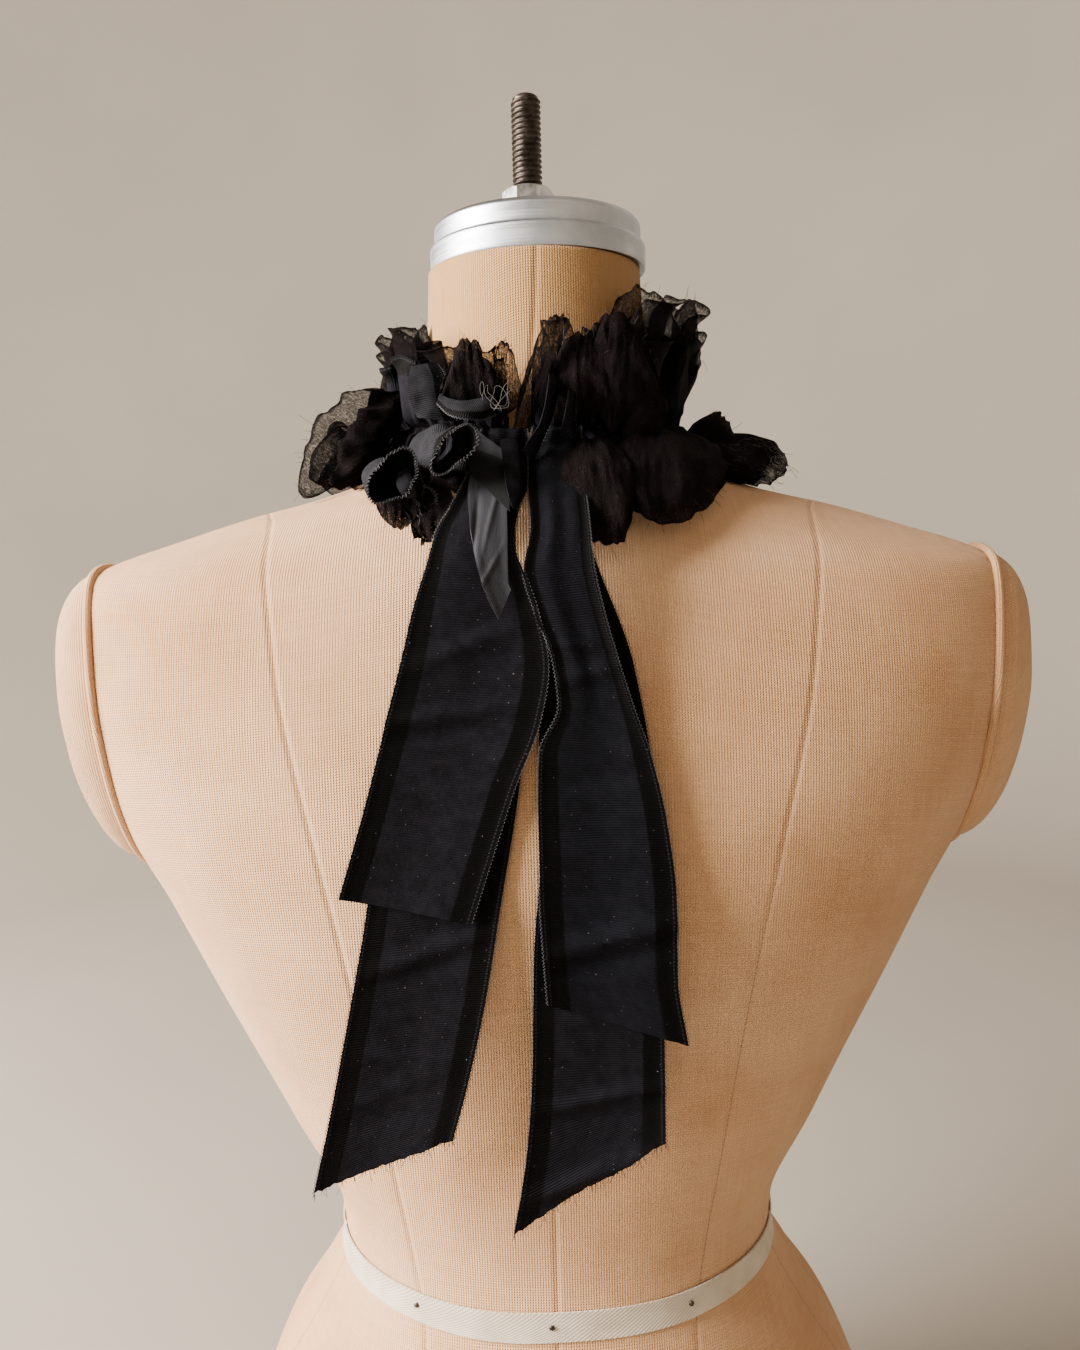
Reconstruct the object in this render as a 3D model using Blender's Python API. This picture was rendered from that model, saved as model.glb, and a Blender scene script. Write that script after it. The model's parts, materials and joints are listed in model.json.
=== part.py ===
# A ruffled mourning collar on a limbless dress form, seen from the centre back.
# The form faces +Y, so the collar's opening and ribbon tails are on the -Y side.
# The origin is in the middle of the form's flat base. Sizes and tables are in millimetres,
# and the meshes are made in metres.

import math
from collections import namedtuple

import bmesh
import bpy
import numpy as np

MM = 0.001
CLOTH = 1.0            # thickness of every cloth wall
SEAM_GAP = 0.4         # clearance between pieces that lie on each other

# Dress form, one row for each height
Section = namedtuple("Section", "height half_width back front squareness")
FORM_SECTIONS = (
    Section(0, 146, -128, 112, 2.20),
    Section(40, 158, -138, 118, 2.20),
    Section(100, 160, -138, 116, 2.20),
    Section(140, 150, -128, 109, 2.18),
    Section(165, 139, -116, 105, 2.15),
    Section(190, 122, -100, 96, 2.12),
    Section(222, 107, -86, 88, 2.10),
    Section(240, 109, -84, 91, 2.10),
    Section(290, 132, -90, 104, 2.20),
    Section(350, 161, -99, 122, 2.30),
    Section(400, 183, -106, 130, 2.40),
    Section(430, 196, -108, 122, 2.50),
    Section(465, 208, -105, 98, 2.60),
    Section(500, 214, -98, 74, 2.70),
    Section(530, 213, -88, 56, 2.60),
    Section(545, 208, -82, 51, 2.45),
    Section(553, 193, -77, 50, 2.35),
    Section(562, 166, -71, 49, 2.20),
    Section(573, 131, -64, 51, 2.12),
    Section(580, 103, -59, 54, 2.08),
    Section(590, 77, -53, 58, 2.05),
    Section(606, 61, -46, 62, 2.00),
    Section(630, 54, -40, 64, 2.00),
    Section(660, 51, -36, 67, 2.00),
    Section(684, 50, -33, 70, 2.00),
)
FORM_LEVELS = (0, 14, 45, 85, 120, 145, 165, 185, 203, 216, 222, 228, 250, 280, 315, 350, 385,
               410, 435, 460, 485, 508, 528, 540, 549, 557, 565, 573, 580, 586, 593, 601, 612,
               628, 656, 684)
FORM_SIDES = 40

# Armhole: the plane that parts each padded shoulder cap from the torso
ARMHOLE_X = 195.0
ARMHOLE_MIDDLE_Z = 486.0
ARMHOLE_TILT = 0.08      # outward run for each unit of height
ARMHOLE_YAW = 0.11       # outward run for each unit towards the front
SHOULDER_CAP_BULGE = 25.0
SHOULDER_CAP_RINGS = 5

# Neck hardware
NECK_TOP = 684.0
NECK_AXIS_Y = 18.5
CAP_AXIS_X = 2.0
CAP_SKIRT_RADIUS = 50.8
CAP_LID_RADIUS = 48.6
CAP_SKIRT_HEIGHT = 11.0
CAP_HEIGHT = 21.5
CAP_EDGE_ROUND = 3.0
STUD_AXIS_X = -2.0
FOOT_RADIUS = 14.5        # the round foot that the nut sits on
FOOT_HEIGHT = 4.5
NUT_ACROSS_FLATS = 20.8
NUT_HEIGHT = 12.0
NUT_TURN = 5.0            # degrees
STUD_RADIUS = 7.0
STUD_TOP = 764.5

# Waist tape
TAPE_HEIGHT = 222.0
TAPE_WIDTH = 12.0

# Collar seam, where the ruche is gathered to the neck band
SEAM_HEIGHT_MEAN = 603.0
SEAM_HEIGHT_BACK = 8.0     # higher at the back than at the front
SEAM_HEIGHT_SIDES = -7.0   # and higher over the shoulders
OPENING_RIGHT = -3.0       # degrees from the centre back to the right edge of the opening, + to the right
BAND_BELOW_SEAM = 1.0
BAND_ABOVE_SEAM = 5.0
BAND_ROWS = 3
BAND_COLUMNS = 44
BAND_STAND_OFF = 1.8       # from the neck to the middle of the band
SEAM_STAND_OFF = 4.9       # from the neck to the middle of the gathered crape
SEAM_HALF_WIDTH = 1.6      # from the seam line to the first row of each frill
SEAM_WAVE = 1.5            # depth of the gathers at the seam
RIBBON_LIFT = 2.8          # from the middle of the crape to the middle of the ribbon on it
FOLD_OVERHANG = 0.13       # sideways swing of a fold, as a part of its width
PETAL_NOTCH = 0.16         # how much shorter the cloth is between two petals
SEAM_CLEARANCE = 3.0       # sideways, from the form to the middle of the lower frill at the seam
EDGE_CLEARANCE = 4.4       # and at its cut edge
CLEARING_STEP = 0.25
CLEARING_STEPS = 120
COLUMNS_PER_DEGREE = 0.36  # columns of faces in a frill
CRAPE_CELLS = 4            # rows of faces from the seam to the edge
RIBBON_CELLS = 3

# One row for each petal, from the right of the opening, round the front, to its left.
# width is in degrees, reach is the length from the seam to the edge, start and lean are the
# angles from the vertical at the seam and at the edge, depth is half the fold's depth, and
# ribbon is the ribbon's share of the reach.
Petal = namedtuple("Petal", "width reach start lean depth ribbon")
UPPER_PETALS = (
    Petal(15, 43, 2, 16, 5.0, 0.45),
    Petal(17, 39, 2, 20, 6.0, 0.60),
    Petal(30, 59, 0, 18, 9.0, 0.66),
    Petal(30, 56, 0, 17, 8.5, 0.74),
    Petal(27, 48, 4, 24, 8.0, 0.66),
    Petal(25, 47, 8, 27, 8.0, 0.62),
    Petal(25, 49, 8, 24, 8.0, 0.66),
    Petal(24, 46, 8, 25, 7.5, 0.60),
    Petal(25, 49, 8, 24, 8.0, 0.66),
    Petal(25, 46, 8, 25, 8.0, 0.62),
    Petal(26, 46, 2, 14, 8.0, 0.66),
    Petal(22, 44, 0, 5, 7.0, 0.70),
    Petal(28, 44, 0, 8, 8.0, 0.72),
    Petal(18, 37, 2, 22, 6.5, 0.42),
    Petal(13, 36, 2, 14, 4.0, 0.40),
)
LOWER_PETALS = (
    Petal(10, 28, 14, 44, 2.5, 0.60),
    Petal(24, 50, 16, 50, 6.0, 0.66),
    Petal(30, 49, 20, 64, 7.5, 0.68),
    Petal(24, 50, 34, 76, 7.0, 0.68),
    Petal(28, 56, 48, 92, 10.0, 0.62),
    Petal(28, 50, 30, 74, 8.0, 0.66),
    Petal(28, 48, 16, 52, 8.0, 0.66),
    Petal(24, 50, 12, 44, 8.0, 0.66),
    Petal(28, 48, 16, 52, 8.0, 0.66),
    Petal(28, 50, 30, 74, 8.0, 0.66),
    Petal(30, 52, 66, 116, 22.0, 0.52),
    Petal(24, 44, 34, 76, 8.0, 0.72),
    Petal(18, 42, 18, 60, 7.0, 0.78),
    Petal(18, 40, 16, 52, 5.0, 0.70),
    Petal(11, 28, 14, 44, 2.5, 0.60),
)

# The y of the under ribbons, one row for each height
Hang = namedtuple("Hang", "height y")
HANG_LINE = (
    Hang(270, -110.5),
    Hang(400, -110.0),
    Hang(430, -108.6),
    Hang(460, -107.0),
    Hang(500, -103.5),
    Hang(540, -100.5),
    Hang(552, -98.0),
    Hang(564, -92.5),
    Hang(574, -84.5),
    Hang(580, -77.0),
    Hang(586, -70.0),
    Hang(592, -65.0),
    Hang(598, -60.5),
    Hang(604, -52.0),
)
TOP_STAND_OFF = 10.6       # from the neck to the middle of a ribbon where it is sewn on
LAYER_STEP = 2.6           # from one ribbon to the next one on it
TAIL_RIPPLE = 0.6          # half the depth of the soft ripples across a ribbon
TAIL_CELLS_ACROSS = 4
TAIL_CELLS_DOWN = 13
TAIL_ROW_CROWDING = 1.6    # above 1, the rows lie closer near the collar

# Ribbon tails, one row for each section from the collar down to the cut end
TailRow = namedtuple("TailRow", "left_x left_z right_x right_z")
TAIL_LEFT_UPPER = (
    TailRow(-23, 605, -8, 604),
    TailRow(-29, 582, -10, 580),
    TailRow(-42, 560, -10, 556),
    TailRow(-52, 524, -5, 518),
    TailRow(-60, 495, -8, 487),
    TailRow(-71, 456, -19, 449),
    TailRow(-81, 425, -31, 414),
)
TAIL_LEFT_LOWER = (
    TailRow(-26, 603, -10, 603),
    TailRow(-34, 562, -10, 560),
    TailRow(-52, 520, -5, 515),
    TailRow(-63, 474, -11, 466),
    TailRow(-71, 419, -19, 422),
    TailRow(-80, 376, -27, 379),
    TailRow(-90, 332, -36, 342),
    TailRow(-97, 304, -41, 325),
)
TAIL_RIGHT_UPPER = (
    TailRow(0, 605, 15, 605),
    TailRow(-2, 572, 18, 572),
    TailRow(-4, 540, 21, 540),
    TailRow(-3, 510, 29, 506),
    TailRow(-4, 466, 43, 466),
    TailRow(-4, 432, 47, 430),
    TailRow(-2, 381, 52, 363),
)
TAIL_RIGHT_LOWER = (
    TailRow(1, 603, 13, 603),
    TailRow(-1, 560, 18, 560),
    TailRow(-3, 510, 34, 510),
    TailRow(-3, 450, 42, 450),
    TailRow(-7, 400, 43, 400),
    TailRow(-9, 350, 43, 350),
    TailRow(-18, 284, 43, 322),
)
LINING_TAIL = (
    TailRow(-24, 600, -12, 597),
    TailRow(-27, 586, -11, 582),
    TailRow(-26, 572, -12, 570),
    TailRow(-23, 554, -13, 555),
    TailRow(-17, 533, -12, 543),
)


def monotone_curve(xs, ys):
    """A smooth curve through a table's points that never overshoots them."""
    xs = np.asarray(xs, float)
    ys = np.asarray(ys, float)
    steps = np.diff(xs)
    slopes = np.diff(ys) / steps
    tangents = np.empty_like(ys)
    tangents[0] = slopes[0]
    tangents[-1] = slopes[-1]
    for i in range(1, len(xs) - 1):
        if slopes[i - 1] * slopes[i] <= 0:
            tangents[i] = 0.0
        else:
            before = 2 * steps[i] + steps[i - 1]
            after = steps[i] + 2 * steps[i - 1]
            tangents[i] = (before + after) / (before / slopes[i - 1] + after / slopes[i])

    def value(x):
        i = int(np.clip(np.searchsorted(xs, x) - 1, 0, len(steps) - 1))
        t = min(max((x - xs[i]) / steps[i], 0.0), 1.0)
        start = (1 + 2 * t) * (1 - t) ** 2 * ys[i] + t * (1 - t) ** 2 * steps[i] * tangents[i]
        end = t * t * (3 - 2 * t) * ys[i + 1] + t * t * (t - 1) * steps[i] * tangents[i + 1]
        return start + end

    return value


def table_curves(rows):
    """One curve for each column after the first, which is what they are read against."""
    columns = list(zip(*rows))
    return [monotone_curve(columns[0], column) for column in columns[1:]]


FORM_CURVES = table_curves(FORM_SECTIONS)
HANG_Y = table_curves(HANG_LINE)[0]


def make_material(name, colour, roughness, metallic=0.0):
    material = bpy.data.materials.new(name)
    material.use_nodes = True
    shader = material.node_tree.nodes["Principled BSDF"]
    shader.inputs["Base Color"].default_value = (*colour, 1.0)
    shader.inputs["Roughness"].default_value = roughness
    shader.inputs["Metallic"].default_value = metallic
    material.diffuse_color = (*colour, 1.0)
    return material


def add_object(name, mesh, material):
    mesh.materials.append(material)
    mesh.shade_smooth()
    mesh.set_sharp_from_angle(angle=math.radians(40))
    piece = bpy.data.objects.new(name, mesh)
    bpy.context.scene.collection.objects.link(piece)
    return piece


def mesh_from_faces(name, points, faces):
    """Makes a mesh in metres from points in millimetres."""
    mesh = bpy.data.meshes.new(name)
    mesh.from_pydata([tuple(float(c) * MM for c in point) for point in points], [], faces)
    mesh.update()
    return mesh


def ring_solid(name, rings, material):
    """Bridges closed rings of equal length, from the bottom up, and fills both ends."""
    count = len(rings[0])
    points = [point for ring in rings for point in ring]
    faces = [tuple(reversed(range(count)))]
    for level in range(len(rings) - 1):
        low = level * count
        for i in range(count):
            j = (i + 1) % count
            faces.append((low + i, low + j, low + count + j, low + count + i))
    top = (len(rings) - 1) * count
    faces.append(tuple(range(top, top + count)))
    return add_object(name, mesh_from_faces(name, points, faces), material)


def grid_normals(grid):
    along = np.gradient(grid, axis=1)
    across = np.gradient(grid, axis=0)
    normals = np.cross(along, across)
    return normals / np.linalg.norm(normals, axis=2, keepdims=True)


def cloth_wall(name, grid, material, thickness=CLOTH):
    """Gives an open grid of middle points a thickness, with a rim all round."""
    rows, columns = grid.shape[:2]
    half = grid_normals(grid) * thickness / 2
    points = np.concatenate([(grid + half).reshape(-1, 3), (grid - half).reshape(-1, 3)])
    back = rows * columns
    faces = []
    for r in range(rows - 1):
        for c in range(columns - 1):
            a = r * columns + c
            b, d, e = a + 1, a + columns, a + columns + 1
            faces.append((a, b, e, d))
            faces.append((back + a, back + d, back + e, back + b))
    rim = list(range(columns))
    rim += [r * columns + columns - 1 for r in range(1, rows)]
    rim += [(rows - 1) * columns + c for c in range(columns - 2, -1, -1)]
    rim += [r * columns for r in range(rows - 2, 0, -1)]
    for a, b in zip(rim, rim[1:] + rim[:1]):
        faces.append((b, a, back + a, back + b))
    return add_object(name, mesh_from_faces(name, points, faces), material)


def form_section(height):
    half_width, back, front, squareness = [curve(height) for curve in FORM_CURVES]
    return half_width, (front - back) / 2, (front + back) / 2, squareness


def form_point(height, angle, clearance=0.0):
    """A point on the form's surface, with the angle in radians from the centre back."""
    half_width, half_depth, middle, squareness = form_section(height)
    side = abs(math.sin(angle) / half_width) ** squareness
    rear = abs(math.cos(angle) / half_depth) ** squareness
    radius = (side + rear) ** (-1 / squareness) + clearance
    return np.array([radius * math.sin(angle), middle - radius * math.cos(angle), height])


def form_back(x, height):
    """The y of the form's back surface."""
    half_width, half_depth, middle, squareness = form_section(height)
    share = max(1 - abs(x / half_width) ** squareness, 0.0)
    return middle - half_depth * share ** (1 / squareness)


def collar_back(x):
    """The y of the gathered collar's outside at the back, where the ribbons are sewn on."""
    half_width, half_depth, middle, _ = form_section(seam_height(0.0))
    radius = (half_width + half_depth) / 2 + TOP_STAND_OFF
    return middle - math.sqrt(max(radius * radius - x * x, 0.0))


def clear_of_form(point, clearance):
    """Raises a point of a frill until it is clear of the sloping shoulder under it."""
    x, y, z = point
    for _ in range(CLEARING_STEPS):
        half_width, half_depth, middle, squareness = form_section(z)
        reach = abs(x / (half_width + clearance)) ** squareness
        reach += abs((y - middle) / (half_depth + clearance)) ** squareness
        if reach >= 1:
            break
        z += CLEARING_STEP
    return np.array([x, y, z])


def boundary_loop(mesh):
    """The vertices round a mesh's open edge, in order."""
    edge = next(e for e in mesh.edges if e.is_boundary)
    first, current = edge.verts
    loop = [first]
    while current is not loop[0]:
        loop.append(current)
        edge = next(e for e in current.link_edges if e.is_boundary and e is not edge)
        current = edge.other_vert(current)
    return loop


def build_form(canvas):
    """The torso and neck, cut flat at each armhole, and the two padded shoulder caps."""
    turns = [2 * math.pi * i / FORM_SIDES for i in range(FORM_SIDES)]
    rings = [[form_point(z, turn) for turn in turns] for z in FORM_LEVELS]
    torso = ring_solid("dress_form", rings, canvas)
    solid = bmesh.new()
    solid.from_mesh(torso.data)
    for side, name in ((-1, "shoulder_cap_left"), (1, "shoulder_cap_right")):
        normal = np.array([side, -ARMHOLE_YAW, -ARMHOLE_TILT])
        normal /= np.linalg.norm(normal)
        centre = np.array([side * ARMHOLE_X, 0.0, ARMHOLE_MIDDLE_Z])
        everything = solid.verts[:] + solid.edges[:] + solid.faces[:]
        bmesh.ops.bisect_plane(solid, geom=everything, plane_co=centre * MM, plane_no=normal,
                               clear_outer=True)
        outline = [np.array(v.co) / MM for v in boundary_loop(solid)]
        bmesh.ops.holes_fill(solid, edges=[e for e in solid.edges if e.is_boundary])
        build_shoulder_cap(name, outline, normal, side, canvas)
    bmesh.ops.recalc_face_normals(solid, faces=solid.faces[:])
    solid.to_mesh(torso.data)
    solid.free()
    torso.data.set_sharp_from_angle(angle=math.radians(40))


def build_shoulder_cap(name, outline, normal, side, canvas):
    """A dome on the armhole's own outline."""
    centre = sum(outline) / len(outline)
    spokes = [point - centre for point in outline]
    swept = sum(np.dot(np.cross(a, b), normal) for a, b in zip(spokes, spokes[1:] + spokes[:1]))
    if swept < 0:
        spokes.reverse()
    rings = []
    for k in range(SHOULDER_CAP_RINGS + 1):
        rise = math.radians(80) * k / SHOULDER_CAP_RINGS
        lift = normal * (SEAM_GAP + SHOULDER_CAP_BULGE * math.sin(rise))
        spread = math.cos(rise) ** 0.75
        rings.append([centre + spoke * spread + lift for spoke in spokes])
    ring_solid(name, rings, canvas)


def turned_rings(profile, sides, axis_x, first_turn=0.0):
    """Rings of a turned piece from (radius, height) pairs."""
    rings = []
    for radius, height in profile:
        turns = [first_turn + 2 * math.pi * i / sides for i in range(sides)]
        rings.append([(axis_x + radius * math.cos(t), NECK_AXIS_Y + radius * math.sin(t), height)
                      for t in turns])
    return rings


def build_neck_cap(aluminium):
    """The two-step cap, with a low round foot for the nut."""
    base = NECK_TOP + SEAM_GAP
    step = base + CAP_SKIRT_HEIGHT
    top = base + CAP_HEIGHT
    profile = [(CAP_SKIRT_RADIUS, base), (CAP_SKIRT_RADIUS, step - 1.0),
               (CAP_SKIRT_RADIUS - 0.8, step), (CAP_LID_RADIUS, step)]
    for turn in (0, 30, 60, 90):
        angle = math.radians(turn)
        profile.append((CAP_LID_RADIUS - CAP_EDGE_ROUND * (1 - math.cos(angle)),
                        top - CAP_EDGE_ROUND * (1 - math.sin(angle))))
    rings = turned_rings(profile, 40, CAP_AXIS_X)
    foot = [(FOOT_RADIUS, top), (FOOT_RADIUS - 0.8, top + FOOT_HEIGHT)]
    rings += turned_rings(foot, 40, STUD_AXIS_X)
    ring_solid("neck_cap", rings, aluminium)


def build_stud_and_nut(zinc, steel):
    """A plain threaded rod that stands on the cap, through a hexagonal nut."""
    low = NECK_TOP + CAP_HEIGHT + FOOT_HEIGHT + 2 * SEAM_GAP
    high = low + NUT_HEIGHT
    corner = NUT_ACROSS_FLATS / math.sqrt(3)
    hole = (STUD_RADIUS + SEAM_GAP) / math.cos(math.pi / 6)
    turn = math.radians(NUT_TURN)
    outside = turned_rings([(corner, low), (corner, high)], 6, STUD_AXIS_X, turn)
    bore = turned_rings([(hole, low), (hole, high)], 6, STUD_AXIS_X, turn)
    points = outside[0] + outside[1] + bore[0] + bore[1]
    faces = []
    for i in range(6):
        j = (i + 1) % 6
        faces.append((i, j, 6 + j, 6 + i))
        faces.append((12 + j, 12 + i, 18 + i, 18 + j))
        faces.append((6 + i, 6 + j, 18 + j, 18 + i))
        faces.append((j, i, 12 + i, 12 + j))
    add_object("neck_nut", mesh_from_faces("neck_nut", points, faces), zinc)
    stud = [(STUD_RADIUS, low), (STUD_RADIUS, STUD_TOP - 1.0), (STUD_RADIUS - 1.0, STUD_TOP)]
    ring_solid("neck_stud", turned_rings(stud, 16, STUD_AXIS_X), steel)


def build_waist_tape(cotton):
    """A closed ring of tape, as a wall bent round the waist."""
    inner = SEAM_GAP
    outer = SEAM_GAP + CLOTH
    low = TAPE_HEIGHT - TAPE_WIDTH / 2
    high = TAPE_HEIGHT + TAPE_WIDTH / 2
    corners = ((low, inner), (low, outer), (high, outer), (high, inner))
    points = []
    for i in range(FORM_SIDES):
        turn = 2 * math.pi * i / FORM_SIDES
        points += [form_point(z, turn, clearance) for z, clearance in corners]
    faces = []
    for i in range(FORM_SIDES):
        here = 4 * i
        there = 4 * ((i + 1) % FORM_SIDES)
        for k in range(4):
            m = (k + 1) % 4
            faces.append((here + k, there + k, there + m, here + m))
    add_object("waist_tape", mesh_from_faces("waist_tape", points, faces), cotton)


def seam_height(angle):
    return (SEAM_HEIGHT_MEAN + SEAM_HEIGHT_BACK * math.cos(angle)
            + SEAM_HEIGHT_SIDES * math.cos(2 * angle))


def build_neck_band(silk):
    """The stay band round the neck, open at the centre back."""
    start = math.radians(OPENING_RIGHT)
    sweep = math.radians(sum(petal.width for petal in UPPER_PETALS))
    grid = np.empty((BAND_ROWS, BAND_COLUMNS, 3))
    for r, rise in enumerate(np.linspace(-BAND_BELOW_SEAM, BAND_ABOVE_SEAM, BAND_ROWS)):
        for c in range(BAND_COLUMNS):
            angle = start + sweep * c / (BAND_COLUMNS - 1)
            grid[r, c] = form_point(seam_height(angle) + rise, angle, BAND_STAND_OFF)
    cloth_wall("neck_band", grid, silk)


def petal_columns(petals):
    """For each column of a frill: its angle, its phase in its petal and the petals' values."""
    centres = []
    start = math.radians(OPENING_RIGHT)
    columns = []
    for petal in petals:
        centres.append(len(centres) + 0.5)
    for index, petal in enumerate(petals):
        width = math.radians(petal.width)
        cells = max(6, round(petal.width * COLUMNS_PER_DEGREE))
        last = 1 if index == len(petals) - 1 else 0
        for k in range(cells + last):
            share = k / cells
            place = index + share
            values = [np.interp(place, centres, column) for column in zip(*petals)]
            columns.append((start + width * share, 2 * math.pi * (share - 0.5), Petal(*values)))
        start += width
    return columns


def neck_radius(height, angle, middle):
    """How far the neck's surface is from a chosen middle, in one direction."""
    point = form_point(height, angle)
    drift = form_section(height)[2] - middle
    return math.hypot(point[0], point[1] - middle - drift) - drift * math.cos(angle)


def frill_point(column, share, direction):
    """A middle point of a frill, with share 0 at the seam and 1 at the cut edge."""
    angle, phase, petal = column
    notch = PETAL_NOTCH * (1 - math.cos(phase)) / 2
    reach = petal.reach * (1 - notch)
    height = seam_height(angle)
    middle = form_section(height)[2]
    seam_radius = neck_radius(height, angle, middle)
    first = math.radians(petal.start)
    turn = math.radians(petal.lean) - first
    lean = first + turn * share
    out = reach / turn * (math.cos(first) - math.cos(lean))
    rise = reach / turn * (math.sin(lean) - math.sin(first))
    rise += SEAM_HALF_WIDTH + RIBBON_LIFT * math.sin(first)
    wave = (SEAM_WAVE + (petal.depth - SEAM_WAVE) * share) * math.cos(phase)
    height += direction * (rise - wave * math.sin(lean))
    if direction > 0:
        seam_radius = max(seam_radius, neck_radius(height, angle, middle))
    radius = seam_radius + SEAM_STAND_OFF + out + wave * math.cos(lean)
    width = math.radians(petal.width) * radius
    angle += FOLD_OVERHANG * width * share * math.sin(2 * phase) / radius
    point = np.array([radius * math.sin(angle), middle - radius * math.cos(angle), height])
    if direction > 0:
        return point
    return clear_of_form(point, SEAM_CLEARANCE + (EDGE_CLEARANCE - SEAM_CLEARANCE) * share)


def build_frill(name, petals, direction, crape, ribbon):
    """The crape half of the ruche, and the narrower ribbon that lies on it."""
    columns = petal_columns(petals)
    shares = np.linspace(0, 1, CRAPE_CELLS + 1)
    grid = np.array([[frill_point(c, share, direction) for c in columns] for share in shares])
    if direction < 0:
        grid = grid[::-1]
    cloth_wall("crape_" + name, grid, crape)

    shares = np.linspace(0, 1, RIBBON_CELLS + 1)
    grid = np.array([[frill_point(c, share * c[2].ribbon, direction) for c in columns]
                     for share in shares])
    if direction < 0:
        grid = grid[::-1]
    grid = grid + grid_normals(grid) * RIBBON_LIFT
    cloth_wall("ribbon_" + name, grid, ribbon)


def build_tail(name, rows, layer, folds, material):
    """A hanging ribbon: its rows give both edges, and the hang line gives its depth."""
    places = np.linspace(0, 1, len(rows))
    curves = [monotone_curve(places, column) for column in zip(*rows)]
    grid = np.empty((TAIL_CELLS_DOWN + 1, TAIL_CELLS_ACROSS + 1, 3))
    for r in range(TAIL_CELLS_DOWN + 1):
        down = (r / TAIL_CELLS_DOWN) ** TAIL_ROW_CROWDING
        left_x, left_z, right_x, right_z = [curve(down) for curve in curves]
        for c in range(TAIL_CELLS_ACROSS + 1):
            across = c / TAIL_CELLS_ACROSS
            x = left_x + (right_x - left_x) * across
            z = left_z + (right_z - left_z) * across
            wave = TAIL_RIPPLE * (math.cos(2 * math.pi * (folds * across + 0.6 * down)) - 1)
            slope = (HANG_Y(z + 1) - HANG_Y(z - 1)) / 2
            under = min(HANG_Y(z), form_back(x, z) - SEAM_GAP - CLOTH / 2, collar_back(x))
            grid[r, c] = (x, under - layer * LAYER_STEP * math.hypot(1, slope) + wave, z)
    cloth_wall(name, grid[::-1], material)


def main():
    for piece in list(bpy.data.objects):
        bpy.data.objects.remove(piece, do_unlink=True)
    canvas = make_material("linen_canvas", (0.56, 0.41, 0.27), 0.85)
    aluminium = make_material("spun_aluminium", (0.60, 0.63, 0.67), 0.35, 1.0)
    zinc = make_material("zinc_plated_steel", (0.45, 0.45, 0.45), 0.45, 1.0)
    steel = make_material("dark_steel", (0.12, 0.09, 0.07), 0.50, 1.0)
    cotton = make_material("cotton_tape", (0.70, 0.65, 0.56), 0.90)
    crape = make_material("silk_crape", (0.020, 0.017, 0.018), 0.80)
    ribbon = make_material("grosgrain_ribbon", (0.012, 0.013, 0.018), 0.60)
    lining = make_material("grey_silk_lining", (0.045, 0.050, 0.060), 0.65)

    build_form(canvas)
    build_neck_cap(aluminium)
    build_stud_and_nut(zinc, steel)
    build_waist_tape(cotton)
    build_neck_band(ribbon)
    build_frill("frill_upper", UPPER_PETALS, 1, crape, ribbon)
    build_frill("frill_lower", LOWER_PETALS, -1, crape, ribbon)
    build_tail("tail_left_lower", TAIL_LEFT_LOWER, 0, 1.1, ribbon)
    build_tail("tail_left_upper", TAIL_LEFT_UPPER, 1, 1.0, ribbon)
    build_tail("tail_right_lower", TAIL_RIGHT_LOWER, 0, 0.9, ribbon)
    build_tail("tail_right_upper", TAIL_RIGHT_UPPER, 1, 1.1, ribbon)
    build_tail("lining_tail", LINING_TAIL, 2, 1.0, lining)


main()
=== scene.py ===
import json
import math

import bpy
import numpy as np
from mathutils import Matrix, Vector, noise

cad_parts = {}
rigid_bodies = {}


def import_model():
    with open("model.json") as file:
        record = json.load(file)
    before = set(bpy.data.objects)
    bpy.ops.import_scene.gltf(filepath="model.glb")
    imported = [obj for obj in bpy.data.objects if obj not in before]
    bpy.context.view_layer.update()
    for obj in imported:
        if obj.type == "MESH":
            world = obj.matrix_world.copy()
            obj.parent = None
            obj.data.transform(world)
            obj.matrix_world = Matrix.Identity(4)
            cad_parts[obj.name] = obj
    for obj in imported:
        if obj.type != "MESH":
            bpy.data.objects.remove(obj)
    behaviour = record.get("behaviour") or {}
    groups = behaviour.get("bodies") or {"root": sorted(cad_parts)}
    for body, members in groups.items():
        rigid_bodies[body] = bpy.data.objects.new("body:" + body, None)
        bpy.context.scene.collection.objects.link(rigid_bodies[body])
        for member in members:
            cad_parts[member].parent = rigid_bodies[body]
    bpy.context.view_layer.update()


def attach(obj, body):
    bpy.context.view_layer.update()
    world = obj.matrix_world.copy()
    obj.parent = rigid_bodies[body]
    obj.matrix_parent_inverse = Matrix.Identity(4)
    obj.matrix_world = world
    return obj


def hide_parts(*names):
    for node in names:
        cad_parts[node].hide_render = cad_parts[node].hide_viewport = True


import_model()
mm = 0.001

# The camera stands level with the shoulders, close behind the form, and tips down a little. Its place is
# in millimetres, its tip and roll in degrees, and its focal length and frame in pixels.
cameraLook = {"place": (-2.0, -492.0, 558.0), "tip": 7.3, "roll": 1.45, "focal": 1030.0,
              "frame": (1080, 1350)}


def seen(across, down, y):
    # the point at depth y that the camera sees at a pixel of its frame, in millimetres
    wide, high = cameraLook["frame"]
    roll, tip = math.radians(cameraLook["roll"]), math.radians(cameraLook["tip"])
    u, v = across - wide / 2, down - high / 2
    right = (u * math.cos(roll) - v * math.sin(roll)) / cameraLook["focal"]
    up = -(u * math.sin(roll) + v * math.cos(roll)) / cameraLook["focal"]
    ray = np.array([right, up * math.sin(tip) + math.cos(tip), up * math.cos(tip) - math.sin(tip)])
    start = np.array(cameraLook["place"])
    return start + ray * (y - start[1]) / ray[1]


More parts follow.
